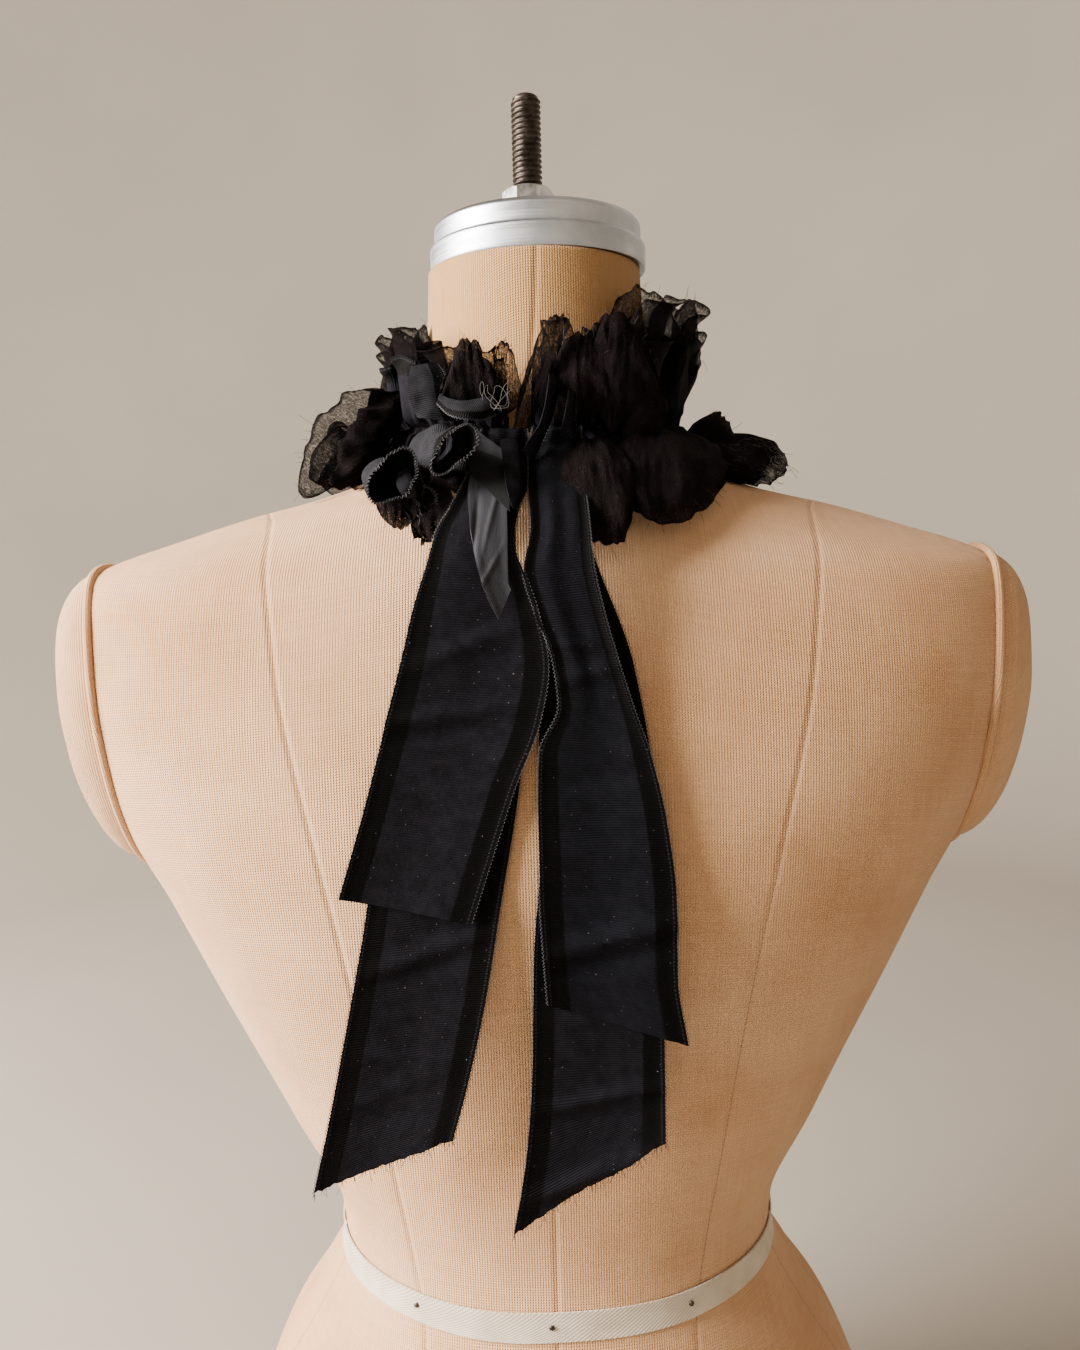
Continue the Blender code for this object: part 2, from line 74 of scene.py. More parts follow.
def smoothCurve(places, values):
    # runs through all its points and never overshoots them
    places = np.asarray(places, float)
    values = np.asarray(values, float)
    steps = np.diff(places)
    slopes = np.diff(values) / steps
    tangents = np.empty_like(values)
    tangents[0], tangents[-1] = slopes[0], slopes[-1]
    for i in range(1, len(places) - 1):
        tangents[i] = 0.0
        if slopes[i - 1] * slopes[i] > 0:
            before = 2 * steps[i] + steps[i - 1]
            after = steps[i] + 2 * steps[i - 1]
            tangents[i] = (before + after) / (before / slopes[i - 1] + after / slopes[i])

    def at(place):
        i = np.clip(np.searchsorted(places, place) - 1, 0, len(steps) - 1)
        t = np.clip((place - places[i]) / steps[i], 0.0, 1.0)
        start = (1 + 2 * t) * (1 - t) ** 2 * values[i] + t * (1 - t) ** 2 * steps[i] * tangents[i]
        return start + t * t * (3 - 2 * t) * values[i + 1] + t * t * (t - 1) * steps[i] * tangents[i + 1]

    return at


def ramp(value, low, high):
    t = np.clip((value - low) / (high - low), 0.0, 1.0)
    return t * t * (3 - 2 * t)


def noiseField(points, period, seed=0.0):
    # smooth noise from -1 to 1 at each point of a grid, with its period in millimetres
    flat = np.asarray(points, float).reshape(-1, 3) / period + seed
    return np.array([noise.noise(Vector(p)) for p in flat]).reshape(points.shape[:-1])


def gridOf(*parts):
    # lines or grids of numbers, side by side as the parts of each point
    return np.stack(np.broadcast_arrays(*parts), axis=-1)


def gridNormals(grid):
    normals = np.cross(np.gradient(grid, axis=1), np.gradient(grid, axis=0))
    return normals / np.maximum(np.linalg.norm(normals, axis=2, keepdims=True), 1e-9)


def lengthAlong(grid, axis):
    # distance from the first row or column, in millimetres
    steps = np.linalg.norm(np.diff(grid, axis=axis), axis=2)
    start = np.zeros((1, grid.shape[1])) if axis == 0 else np.zeros((grid.shape[0], 1))
    return np.concatenate([start, np.cumsum(steps, axis=axis)], axis=axis)


def gridPlane(name, grid):
    # a flat grid, bent to the points
    rows, columns = grid.shape[:2]
    bpy.ops.object.select_all(action="DESELECT")
    bpy.ops.mesh.primitive_grid_add(x_subdivisions=columns - 1, y_subdivisions=rows - 1, size=1)
    piece = bpy.context.object
    piece.name = piece.data.name = name
    piece.data.vertices.foreach_set("co", (grid * mm).astype(np.float32).ravel())
    piece.data.update()
    return piece


def mendMesh(together=0.0, holeSides=None, outward=True):
    # joins points of the active piece that lie closer together than so many metres, and closes holes
    # of up to so many sides, where 0 stands for any
    bpy.ops.object.mode_set(mode="EDIT")
    bpy.ops.mesh.select_all(action="SELECT")
    if together:
        bpy.ops.mesh.remove_doubles(threshold=together)
    if holeSides is not None:
        bpy.ops.mesh.fill_holes(sides=holeSides)
    if outward:
        bpy.ops.mesh.select_all(action="SELECT")
        bpy.ops.mesh.normals_make_consistent(inside=False)
    bpy.ops.object.mode_set(mode="OBJECT")


def finishPiece(piece, material):
    piece.data.materials.append(material)
    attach(piece, "root")
    return piece


def gridPiece(name, grid, material, node=None, uv=None, wall=0.0, roundUp=False, caps=False):
    # a bent grid that can be joined up round, capped and given a wall, and the solid that it stands for
    piece = gridPlane(name, grid)
    mesh = piece.data
    corners = np.empty(len(mesh.loops), dtype=np.int32)
    mesh.loops.foreach_get("vertex_index", corners)
    if uv is None:
        uv = gridOf(lengthAlong(grid, 1), lengthAlong(grid, 0))
    mesh.uv_layers.active.data.foreach_set("uv", (uv * mm).reshape(-1, 2)[corners].astype(np.float32).ravel())
    if roundUp or caps:
        mendMesh(1e-6, 0 if caps else None, caps)
    if wall:
        solid = piece.modifiers.new("wall", "SOLIDIFY")
        solid.thickness = wall * mm
        solid.offset = 0.0
        bpy.ops.object.modifier_apply(modifier=solid.name)
    sharpFrom = 50
    bpy.ops.object.shade_smooth_by_angle(angle=math.radians(sharpFrom))
    if node:
        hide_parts(node)
    return finishPiece(piece, material)


def setValues(piece, name, values):
    # a number or a vector for each vertex, which the material reads
    kind, part = ("FLOAT_VECTOR", "vector") if values.ndim == 2 else ("FLOAT", "value")
    attribute = piece.data.attributes.new(name, kind, "POINT")
    attribute.data.foreach_set(part, values.astype(np.float32).ravel())


def ringTube(path, radius, sides):
    # a tube round a closed line
    ahead = np.roll(path, -1, axis=0) - np.roll(path, 1, axis=0)
    ahead /= np.linalg.norm(ahead, axis=1, keepdims=True)
    sideways = np.cross(ahead, (0.0, 0.0, 1.0))
    sideways /= np.maximum(np.linalg.norm(sideways, axis=1, keepdims=True), 1e-6)
    other = np.cross(sideways, ahead)
    turns = np.linspace(0, 2 * math.pi, sides + 1)[None, :, None]
    grid = path[:, None] + (sideways[:, None] * np.cos(turns) + other[:, None] * np.sin(turns)) * radius
    return np.concatenate([grid, grid[:1]])


def lineLengths(line):
    return np.concatenate([[0], np.cumsum(np.linalg.norm(np.diff(line, axis=0), axis=1))])


def alongLine(line, lengths, places):
    return gridOf(*[np.interp(places, lengths, line[:, k]) for k in range(3)])


def turnedGrid(profile, axis, sides=128):
    # (radius, height) pairs turned round an upright axis
    turns = np.linspace(0, 2 * math.pi, sides + 1)
    radius, height = np.asarray(profile, float).T[:, :, None]
    x, y = axis[0] + radius * np.cos(turns), axis[1] + radius * np.sin(turns)
    return gridOf(x, y, height)


def joinPieces(prefix, name):
    # makes one piece of all whose names begin with the prefix
    bpy.ops.object.select_all(action="DESELECT")
    for piece in bpy.data.objects:
        if piece.name.startswith(prefix):
            piece.select_set(True)
            bpy.context.view_layer.objects.active = piece
    bpy.ops.object.join()
    joined = bpy.context.object
    joined.name = joined.data.name = name
    return joined


# The strands, in millimetres, that the pieces add as they are made: looped ribbon edges and loose ends
edgeLoops, looseEnds = [], []
edgeLook = {"gap": 1.5, "reach": 0.8, "thread": 0.32, "looseThread": 0.17}


def addLoopedEdge(line, inside):
    # a strand that zigzags along a ribbon's edge at even steps, away from a line that lies inside it
    lengths = lineLengths(line)
    places = np.arange(0, lengths[-1], edgeLook["gap"] / 2)
    points, away = alongLine(line, lengths, places), alongLine(line - inside, lengths, places)
    away /= np.maximum(np.linalg.norm(away, axis=1, keepdims=True), 1e-6)
    edgeLoops.append(points + away * edgeLook["reach"] * (np.arange(len(places)) % 2)[:, None])


def addLooseEnds(line, outward, count, lengths, seed):
    # the loose ends of cut cloth: short bent strands that start at chance places on a line
    chance = np.random.default_rng(int(seed))
    for _ in range(count):
        i = chance.integers(0, len(line))
        ahead = outward[i] / np.linalg.norm(outward[i]) + chance.uniform(-0.45, 0.45, 3)
        bend = chance.uniform(-0.6, 0.6, 3)
        steps = np.linspace(0, 1, 6)[:, None] * chance.uniform(*lengths)
        looseEnds.append(line[i] + ahead * steps + bend * steps ** 2 / lengths[1])


def threadPiece(name, strands, thickness, material):
    # fine threads, drawn as one curve with a strand for each and then made a mesh
    curve = bpy.data.curves.new(name, "CURVE")
    curve.dimensions = "3D"
    curve.bevel_depth = thickness * mm / 2
    curve.bevel_resolution = 0
    curve.use_fill_caps = True
    for strand in strands:
        line = curve.splines.new("POLY")
        line.points.add(len(strand) - 1)
        line.points.foreach_set("co", np.column_stack([strand * mm, np.ones(len(strand))]).ravel())
    piece = bpy.data.objects.new(name, curve)
    bpy.context.scene.collection.objects.link(piece)
    bpy.ops.object.select_all(action="DESELECT")
    piece.select_set(True)
    bpy.context.view_layer.objects.active = piece
    bpy.ops.object.convert(target="MESH")
    return finishPiece(bpy.context.object, material)


def hexColour(code):
    parts = [int(code[i:i + 2], 16) / 255 for i in (1, 3, 5)]
    return tuple(p / 12.92 if p <= 0.04045 else ((p + 0.055) / 1.055) ** 2.4 for p in parts) + (1.0,)


class Surface:
    # a material under way: each method adds one node to it and gives the socket that holds the result
    def __init__(self, name, roughness, metallic=0.0):
        self.material = bpy.data.materials.new(name)
        self.material.use_nodes = True
        self.tree = self.material.node_tree
        self.shader = self.tree.nodes["Principled BSDF"]
        self.shade({"Roughness": roughness, "Metallic": metallic})
        place = self.tree.nodes.new("ShaderNodeTexCoord")
        self.uv, self.place = place.outputs["UV"], place.outputs["Object"]

    def put(self, socket, value):
        # a value is another node's socket, a hex colour or a number
        if isinstance(value, bpy.types.NodeSocket):
            self.tree.links.new(value, socket)
        else:
            socket.default_value = hexColour(value) if isinstance(value, str) else value

    def add(self, kind, inputs, output=0, **settings):
        node = self.tree.nodes.new("ShaderNode" + kind)
        for key, value in settings.items():
            setattr(node, key, value)
        for key, value in inputs.items():
            self.put(node.inputs[key], value)
        return node.outputs[output]

    def shade(self, values):
        for key, value in values.items():
            self.put(self.shader.inputs[key], value)

    def maths(self, operation, *values):
        return self.add("Math", dict(enumerate(values)), operation=operation)

    def clouds(self, place, scale, detail, roughness=0.5, distortion=0.0):
        values = {"Vector": place, "Scale": scale, "Detail": detail, "Roughness": roughness,
                  "Distortion": distortion}
        return self.add("TexNoise", values, "Fac")

    def bands(self, place, direction, gap, distortion=0.0, detail=2.0, detailScale=1.0):
        # soft bands that are gap millimetres apart
        values = {"Vector": place, "Scale": math.pi / 10 / (gap * mm), "Distortion": distortion,
                  "Detail": detail, "Detail Scale": detailScale}
        return self.add("TexWave", values, "Fac", bands_direction=direction)

    def stretch(self, place, scale=(1.0, 1.0, 1.0), turn=0.0):
        turned = (0.0, 0.0, math.radians(turn))
        return self.add("Mapping", {"Vector": place, "Scale": scale, "Rotation": turned})

    def span(self, value, low, high, atLow=0.0, atHigh=1.0, soft=False):
        return self.add("MapRange", {0: value, 1: low, 2: high, 3: atLow, 4: atHigh},
                        interpolation_type="SMOOTHSTEP" if soft else "LINEAR")

    def tones(self, value, *pairs):
        # a colour ramp through (place, hex colour) pairs
        node = self.tree.nodes.new("ShaderNodeValToRGB")
        for i, (place, colour) in enumerate(pairs):
            element = node.color_ramp.elements[i] if i < 2 else node.color_ramp.elements.new(place)
            element.position = place
            element.color = hexColour(colour)
        self.put(node.inputs[0], value)
        return node.outputs[0]

    def mix(self, share, first, second, blend="MIX"):
        return self.add("Mix", {0: share, 6: first, 7: second}, 2, data_type="RGBA", blend_type=blend)

    def attribute(self, name, output="Fac"):
        return self.add("Attribute", {}, output, attribute_name=name)

    def axes(self, vector):
        # the three parts of a vector
        first = self.add("SeparateXYZ", {0: vector})
        return first.node.outputs

    def finish(self, colour, strength=0.0, distance=0.0, height=None):
        # colour and bump, with the bump's distance in metres
        self.shade({"Base Color": colour})
        if height is not None:
            bump = self.add("Bump", {"Strength": strength, "Distance": distance, "Height": height})
            self.shade({"Normal": bump})
        return self.material


# Linen canvas: a plain weave of uneven natural threads, dull and slightly hairy, with grubby patches.
# Its seams are drawn where the form's seam attributes are near zero.
canvasLook = {
    "colour": "#d2a67c", "pale": "#dcb48b", "grubby": "#bd8e62", "neck": "#a9814f", "sewing": "#8d6a48",
    "threadGap": 1.15, "seamWidth": 0.55, "puckerWidth": 2.4, "stitchGap": 2.6, "hipSeamBelow": 222.0,
    "hipSeamAngle": 76.0, "noSeam": 50.0, "darkFrom": 0.585, "darkTo": 0.665,
}


def makeCanvas(name, seams):
    look = canvasLook
    cloth = Surface(name, 0.88)
    patches = cloth.clouds(cloth.place, 9.0, 6.0, 0.62)
    tone = cloth.tones(patches, (0.30, look["grubby"]), (0.72, look["pale"]), (0.52, look["colour"]))
    # the neck has darkened with handling
    high = cloth.span(cloth.axes(cloth.place)[2], look["darkFrom"], look["darkTo"], 0.0, 0.85, soft=True)
    tone = cloth.mix(high, tone, look["neck"])
    warp, weft = [cloth.bands(cloth.uv, direction, look["threadGap"], 0.9, 2.0, 1.4) for direction in "XY"]
    weave = cloth.maths("MULTIPLY", warp, weft)
    slubs = cloth.maths("ADD", *[cloth.clouds(cloth.stretch(cloth.uv, scale), 1.0, 3.0)
                                 for scale in ((900.0, 26.0, 1.0), (26.0, 900.0, 1.0))])
    threads = cloth.maths("MULTIPLY_ADD", weave, 0.22, cloth.maths("MULTIPLY_ADD", slubs, 0.34, 0.50))
    colour = cloth.mix(0.8, tone, threads, "MULTIPLY")
    height = weave
    if seams:
        away = cloth.add("VectorMath", {0: cloth.attribute("seam", "Vector")}, operation="ABSOLUTE")
        across, beside, side = cloth.axes(away)
        nearest = cloth.maths("MINIMUM", cloth.maths("MINIMUM", across, beside), side)
        nearest = cloth.maths("MINIMUM", nearest, cloth.maths("ABSOLUTE", cloth.attribute("hipSeam")))
        groove = cloth.span(nearest, 0.0, look["seamWidth"], 1.0, 0.0, soft=True)
        stitches = cloth.maths("MULTIPLY_ADD", cloth.bands(cloth.place, "Z", look["stitchGap"]), 0.5, 0.42)
        colour = cloth.mix(cloth.maths("MULTIPLY", groove, stitches), colour, look["sewing"])
        pucker = cloth.span(nearest, 0.0, look["puckerWidth"], -1.6, 0.0, soft=True)
        height = cloth.maths("ADD", weave, pucker)
    cloth.shade({"Specular IOR Level": 0.25, "Sheen Weight": 0.12})
    return cloth.finish(colour, 0.8, 0.0005, height)


# Cotton twill tape: matt, off white, with a fine slanting rib
def makeTape():
    cloth = Surface("cottonTwillTape", 0.9)
    rib = cloth.bands(cloth.stretch(cloth.uv, turn=58), "X", 1.3, 0.6)
    level = cloth.maths("MULTIPLY_ADD", rib, 0.25, cloth.clouds(cloth.place, 60.0, 4.0))
    return cloth.finish(cloth.tones(level, (0.25, "#a89b87"), (0.9, "#d2c8b7")), 0.4, 0.0003, rib)


# Spun aluminium: turned and brushed, so fine lines run round it, with soft dull patches from handling
def makeAluminium():
    metal = Surface("spunAluminium", 0.3, 1.0)
    lines = metal.clouds(metal.stretch(metal.place, (14.0, 14.0, 2200.0)), 1.0, 4.0, 0.7)
    tone = metal.tones(metal.clouds(metal.place, 45.0, 5.0), (0.3, "#9aa2ab"), (0.75, "#c9cfd6"))
    metal.shade({"Roughness": metal.span(lines, 0.25, 0.75, 0.24, 0.46), "Anisotropic": 0.5})
    return metal.finish(tone, 0.25, 0.0002, lines)


# Zinc plated steel (the nut) and oiled dark steel (the threaded rod and the pins): mottled
def makeSteel(name, dark, light, roughness):
    metal = Surface(name, roughness, 1.0)
    grit = metal.clouds(metal.place, 260.0, 6.0, 0.65)
    metal.shade({"Roughness": metal.span(grit, 0.3, 0.7, roughness - 0.1, roughness + 0.15)})
    return metal.finish(metal.tones(grit, (0.32, dark), (0.7, light)), 0.2, 0.0002, grit)


# Silk crape: very thin and sheer, with crinkle lines that run from the seam to the edge, where it is
# rolled and so darker. U runs round the neck and V from the seam out, and rim is 1 at the rolled edge.
crapeLook = {"colour": "#050405", "light": "#1a1415", "crinkleGap": 1.25, "crinkleStretch": 0.36,
             "openAlpha": 0.25, "lineAlpha": 0.56, "speckle": 0.18}


def makeCrape():
    look = crapeLook
    cloth = Surface("silkCrape", 0.9)
    perMetre = 1 / (look["crinkleGap"] * mm)
    place = cloth.stretch(cloth.uv, (perMetre, look["crinkleStretch"] * perMetre, 1.0))
    centred = cloth.maths("SUBTRACT", cloth.clouds(place, 1.0, 3.0, 0.6, 0.9), 0.5)
    crinkle = cloth.span(cloth.maths("ABSOLUTE", centred), 0.0, 0.13, 1.0, 0.0, soft=True)
    thin = cloth.span(crinkle, 0.0, 1.0, look["openAlpha"], look["lineAlpha"])
    speckle = cloth.span(cloth.clouds(cloth.uv, 1500.0, 2.0), 0.40, 0.62, 0.0, look["speckle"])
    cover = cloth.maths("ADD", thin, speckle)
    alpha = cloth.add("Math", {0: cover, 1: cloth.attribute("rim")}, operation="ADD", use_clamp=True)
    cloth.shade({"Alpha": alpha, "Specular IOR Level": 0.05})
    return cloth.finish(cloth.mix(thin, look["light"], look["colour"]), 0.9, 0.0008, crinkle)


# Ribbed silk ribbon: a matt ribbed middle, a blacker satin stripe along each side and a fine looped edge.
# U runs across its full width and V along its length, both in metres. Other values are in millimetres.
ribbonLook = {"width": 57.0, "ribGap": 0.95, "middle": "#0c0c10", "stripe": "#020203", "loops": "#1b1c22",
              "stripeFrom": 0.4, "stripeTo": 9.5, "loopGap": 1.5, "stitchRow": 1.3, "lint": "#8a8a8c"}


def makeRibbon(name, middle, worn):
    look = ribbonLook
    cloth = Surface(name, 0.8)
    half = look["width"] * mm / 2
    away = cloth.maths("ABSOLUTE", cloth.maths("SUBTRACT", cloth.axes(cloth.uv)[0], half))
    fromEdge = cloth.maths("SUBTRACT", half, away)
    soft = cloth.maths("MULTIPLY_ADD", cloth.clouds(cloth.uv, 700.0, 3.0), 0.0016, fromEdge)
    begin = cloth.span(soft, look["stripeFrom"] * mm, (look["stripeFrom"] + 0.8) * mm, soft=True)
    end = cloth.span(soft, look["stripeTo"] * mm, (look["stripeTo"] + 1.2) * mm, 1.0, 0.0, soft=True)
    stripe = cloth.maths("MULTIPLY", begin, end)
    rib = cloth.bands(cloth.uv, "Y", look["ribGap"], 0.5, 1.0)
    wornTone = cloth.tones(cloth.clouds(cloth.uv, 130.0, 10.0, 0.78), (0.35, middle), (0.75, worn))
    ribbed = cloth.mix(1.0, wornTone, cloth.maths("MULTIPLY_ADD", rib, 0.5, 0.62), "MULTIPLY")
    striped = cloth.mix(stripe, ribbed, look["stripe"])
    # a row of stitches runs inside the looped edge, painted lighter than the ribbon as a highlight on the
    # thread
    row = cloth.maths("ABSOLUTE", cloth.maths("SUBTRACT", fromEdge, look["stitchRow"] * mm))
    loops = cloth.maths("MULTIPLY", cloth.bands(cloth.uv, "Y", look["loopGap"]),
                        cloth.span(row, 0.2 * mm, 0.5 * mm, 1.0, 0.0))
    edged = cloth.mix(loops, striped, look["loops"])
    lint = cloth.span(cloth.clouds(cloth.uv, 900.0, 0.0), 0.83, 0.86, 0.0, 0.3)
    cloth.shade({"Roughness": cloth.span(stripe, 0.0, 1.0, 0.85, 0.66), "Specular IOR Level": 0.055})
    return cloth.finish(cloth.mix(lint, edged, look["lint"]), 0.6, 0.0003, cloth.maths("ADD", rib, loops))


# Grey silk lining: a flat plain weave that has faded, with a little dust along its folds
def makeLining(name, dark, light):
    cloth = Surface(name, 0.8)
    cloth.shade({"Specular IOR Level": 0.15})
    thread = cloth.clouds(cloth.stretch(cloth.uv, (1300.0, 90.0, 1.0)), 1.0, 2.0)
    level = cloth.maths("MULTIPLY_ADD", thread, 0.5, cloth.clouds(cloth.uv, 55.0, 7.0))
    return cloth.finish(cloth.tones(level, (0.4, dark), (1.0, light)), 0.5, 0.0004, thread)


def makePlain(name, colour, roughness, period):
    # a plain surface with a faint mottle: thread and the studio's wall and floor
    plain = Surface(name, roughness)
    level = plain.span(plain.clouds(plain.place, 1 / (period * mm), 3.0), 0.0, 1.0, 0.88, 1.08)
    return plain.finish(plain.mix(1.0, colour, level, "MULTIPLY"))


canvas = makeCanvas("linenCanvas", True)
plainCanvas = makeCanvas("linenCanvasUnseamed", False)
tape = makeTape()
aluminium = makeAluminium()
zinc = makeSteel("zincPlatedSteel", "#9a9da0", "#d2d4d4", 0.36)
darkSteel = makeSteel("oiledSteel", "#26211f", "#5d554f", 0.42)
crape = makeCrape()
ribbonHalf = ribbonLook["width"] / 2
ribbonMatt = makeRibbon("ribbedRibbon", ribbonLook["middle"], "#1f1f26")
ribbonBlue = makeRibbon("ribbedRibbonBlue", "#0b0c10", "#191a21")
# a lighter copy of the ribbon: painted light for the loops and folds near the opening that catch the light
ribbonPaintedLit = makeRibbon("ribbedRibbonLit", "#1b1c20", "#2b2c31")
lining = makeLining("greySilkLining", "#1a1b20", "#303238")
# a darker copy of the lining: painted shade for the folded-over flap
liningPaintedShade = makeLining("greySilkLiningShaded", "#0e0f11", "#1b1d20")
blackThread = makePlain("blackSilkThread", "#0b0a0b", 0.6, 4.0)
# the threads of the looped edges are a lighter grey than the black ribbon: a painted highlight on the loops
edgeThreadLit = makePlain("silkEdgeLoops", "#33353b", 0.6, 4.0)
paleThread = makePlain("greySilkThread", "#4a4745", 0.7, 4.0)
wallPaint = makePlain("chalkyWallPaint", "#938d83", 0.95, 400.0)
print("materials made")


formRows = (  # height, half width, back, front, squareness
    (0, 146, -128, 112, 2.20), (40, 158, -138, 118, 2.20), (100, 160, -138, 116, 2.20),
    (140, 150, -128, 109, 2.18), (165, 139, -116, 105, 2.15), (190, 122, -100, 96, 2.12),
    (222, 107, -86, 88, 2.10), (240, 109, -84, 91, 2.10), (290, 132, -90, 104, 2.20),
    (350, 161, -99, 122, 2.30), (400, 183, -106, 130, 2.40), (430, 196, -108, 122, 2.50),
    (465, 208, -105, 98, 2.60), (500, 214, -98, 74, 2.70), (530, 213, -88, 56, 2.60),
    (545, 208, -82, 51, 2.45), (553, 193, -77, 50, 2.35), (562, 166, -71, 49, 2.20),
    (573, 131, -64, 51, 2.12), (580, 103, -59, 54, 2.08), (590, 77, -53, 58, 2.05),
    (606, 61, -46, 62, 2.00), (630, 54, -40, 64, 2.00), (660, 51, -36, 67, 2.00),
    (684, 50, -33, 70, 2.00),
)
formColumns = list(zip(*formRows))
formCurves = [smoothCurve(formColumns[0], column) for column in formColumns[1:]]

formLook = {
    "top": 684.0, "sides": 288, "heightStep": 3.2, "lump": 0.5, "lumpPeriod": 70.0, "smoothBelow": 30.0,
    "smoothAbove": (545.0, 600.0), "armholeX": 195.0, "armholeZ": 486.0, "armholeTilt": 0.08,
    "armholeYaw": 0.11, "cutAbove": 300.0, "capBulge": 25.0, "capGap": 0.4, "capRound": 0.75,
    "capLump": 0.8, "capLumpPeriod": 26.0, "pipingRadius": 1.9, "pipingOut": 0.6, "pipingLift": 0.2,
}
princessSeam = smoothCurve(  # height against distance from the middle
    (0, 100, 207, 247, 290, 333, 395, 440, 470, 498, 532, 552, 571, 590, 684),
    (82, 76, 60, 65.5, 70.3, 75.3, 83.7, 91.8, 98.4, 104.3, 109.6, 112.8, 116.4, 200, 400))
backSeam = smoothCurve((0, 300, 560, 620, 660, 684), (-1.5, -1.3, -3.0, -3.0, -0.1, 1.0))


def formSection(height):
    halfWidth, back, front, squareness = [curve(height) for curve in formCurves]
    return halfWidth, (front - back) / 2, (front + back) / 2, squareness


def formPoint(height, angle, clearance=0.0):
    # angle is in radians from the centre back
    halfWidth, halfDepth, middle, squareness = formSection(height)
    side = np.abs(np.sin(angle) / halfWidth) ** squareness
    rear = np.abs(np.cos(angle) / halfDepth) ** squareness
    radius = (side + rear) ** (-1 / squareness) + clearance
    x, y = radius * np.sin(angle), middle - radius * np.cos(angle)
    return gridOf(x, y, height)


def formBack(x, height):
    halfWidth, halfDepth, middle, squareness = formSection(height)
    share = np.maximum(1 - np.abs(x / halfWidth) ** squareness, 0.0)
    return middle - halfDepth * share ** (1 / squareness)


def setSeams(piece):
    # signed distances in millimetres to the centre, princess and side seams, and to the hip seam
    points = np.empty(len(piece.data.vertices) * 3, np.float32)
    piece.data.vertices.foreach_get("co", points)
    x, y, z = points.reshape(-1, 3).T / mm
    middle = formSection(z)[2]
    setValues(piece, "seam", gridOf(x - backSeam(z), np.abs(x) - princessSeam(z), y - middle))
    turn = np.arctan2(np.abs(x), middle - y) - math.radians(canvasLook["hipSeamAngle"])
    hip = turn * np.hypot(x, y - middle)
    setValues(piece, "hipSeam", np.where(z < canvasLook["hipSeamBelow"], hip, canvasLook["noSeam"]))


def evenLoop(loop, count, smoothing):
    # a closed loop at equal steps, with small corners softened
    for _ in range(smoothing):
        loop = loop * 0.5 + (np.roll(loop, 1, axis=0) + np.roll(loop, -1, axis=0)) * 0.25
    closed = np.concatenate([loop, loop[:1]])
    lengths = lineLengths(closed)
    return alongLine(closed, lengths, np.linspace(0, lengths[-1], count, endpoint=False))


def buildForm():
    look = formLook
    heights = np.concatenate([[0.0], np.arange(4, look["top"], look["heightStep"]), [look["top"]]])[:, None]
    angles = np.linspace(0, 2 * math.pi, look["sides"] + 1)[None, :] + math.pi
    grid = formPoint(heights, angles)
    lump = noiseField(grid, look["lumpPeriod"]) * look["lump"]
    lump *= ramp(heights, 0, look["smoothBelow"]) * (1 - ramp(heights, *look["smoothAbove"]))
    lump[:, -1] = lump[:, 0]
    grid += gridNormals(grid) * lump[:, :, None]
    grid[:, -1] = grid[:, 0]
    along = lengthAlong(grid, 1)
    uv = gridOf(along - along[:, look["sides"] // 2][:, None], lengthAlong(grid, 0))
    form = gridPiece("canvasForm", grid, canvas, "dress_form", uv, roundUp=True)
    armholes = []
    for side in (-1, 1):
        place = Vector((side * look["armholeX"], 0, look["armholeZ"]))
        normal = Vector((side, -look["armholeYaw"], -look["armholeTilt"])).normalized()
        bpy.ops.object.mode_set(mode="EDIT")
        bpy.ops.mesh.select_all(action="DESELECT")
        bpy.ops.object.mode_set(mode="OBJECT")
        # the hips come close to the cutting plane, so only the upper torso is cut
        upper = [v.co.z > look["cutAbove"] * mm for v in form.data.vertices]
        form.data.vertices.foreach_set("select", upper)
        bpy.ops.object.mode_set(mode="EDIT")
        bpy.ops.mesh.bisect(plane_co=place * mm, plane_no=normal, clear_outer=True)
        bpy.ops.object.mode_set(mode="OBJECT")
        points = np.array([v.co for v in form.data.vertices]) / mm
        height = (points - np.array(place)) @ np.array(normal)
        cut = (np.abs(height) < 0.01) & (points[:, 2] > look["cutAbove"])
        armholes.append((side, np.array(normal), points[cut]))
    mendMesh(holeSides=0)
    setSeams(form)
    for side, normal, edge in armholes:
        buildShoulderCap(side, normal, edge)


def buildShoulderCap(side, normal, edge):
    # a padded dome that is sewn to the armhole, and the piping round the seam
    look = formLook
    centre = edge.mean(axis=0)
    spoke = edge - centre
    upright = np.cross(normal, (0.0, 1.0, 0.0))
    upright /= np.linalg.norm(upright)
    forward = np.cross(upright, normal)
    order = np.argsort(np.arctan2(spoke @ forward, spoke @ upright) * side)
    spokes = evenLoop(edge[order], 120, 4) - centre
    rises = np.radians(np.linspace(0, 88, 26))[:, None, None]
    lift = normal * (look["capGap"] + look["capBulge"] * np.sin(rises))
    dome = centre + spokes[None] * np.cos(rises) ** look["capRound"] + lift
    dome = np.concatenate([dome, dome[:, :1]], axis=1)
    lump = noiseField(dome, look["capLumpPeriod"], 3.0) * look["capLump"] * np.sin(rises[:, :, 0])
    lump[:, -1] = lump[:, 0]
    dome += normal * lump[:, :, None]
    word = "Left" if side < 0 else "Right"
    gridPiece("shoulderCap" + word, dome, plainCanvas, "shoulder_cap_" + word.lower(), roundUp=True,
              caps=True)
    radius = look["pipingRadius"]
    line = centre + spokes * (1 + look["pipingOut"] * radius / np.linalg.norm(spokes, axis=1, keepdims=True))
    piping = ringTube(line + normal * look["pipingLift"], radius, 12)
    gridPiece("armholePiping" + word, piping, plainCanvas, roundUp=True)


buildForm()
print("dress form made")


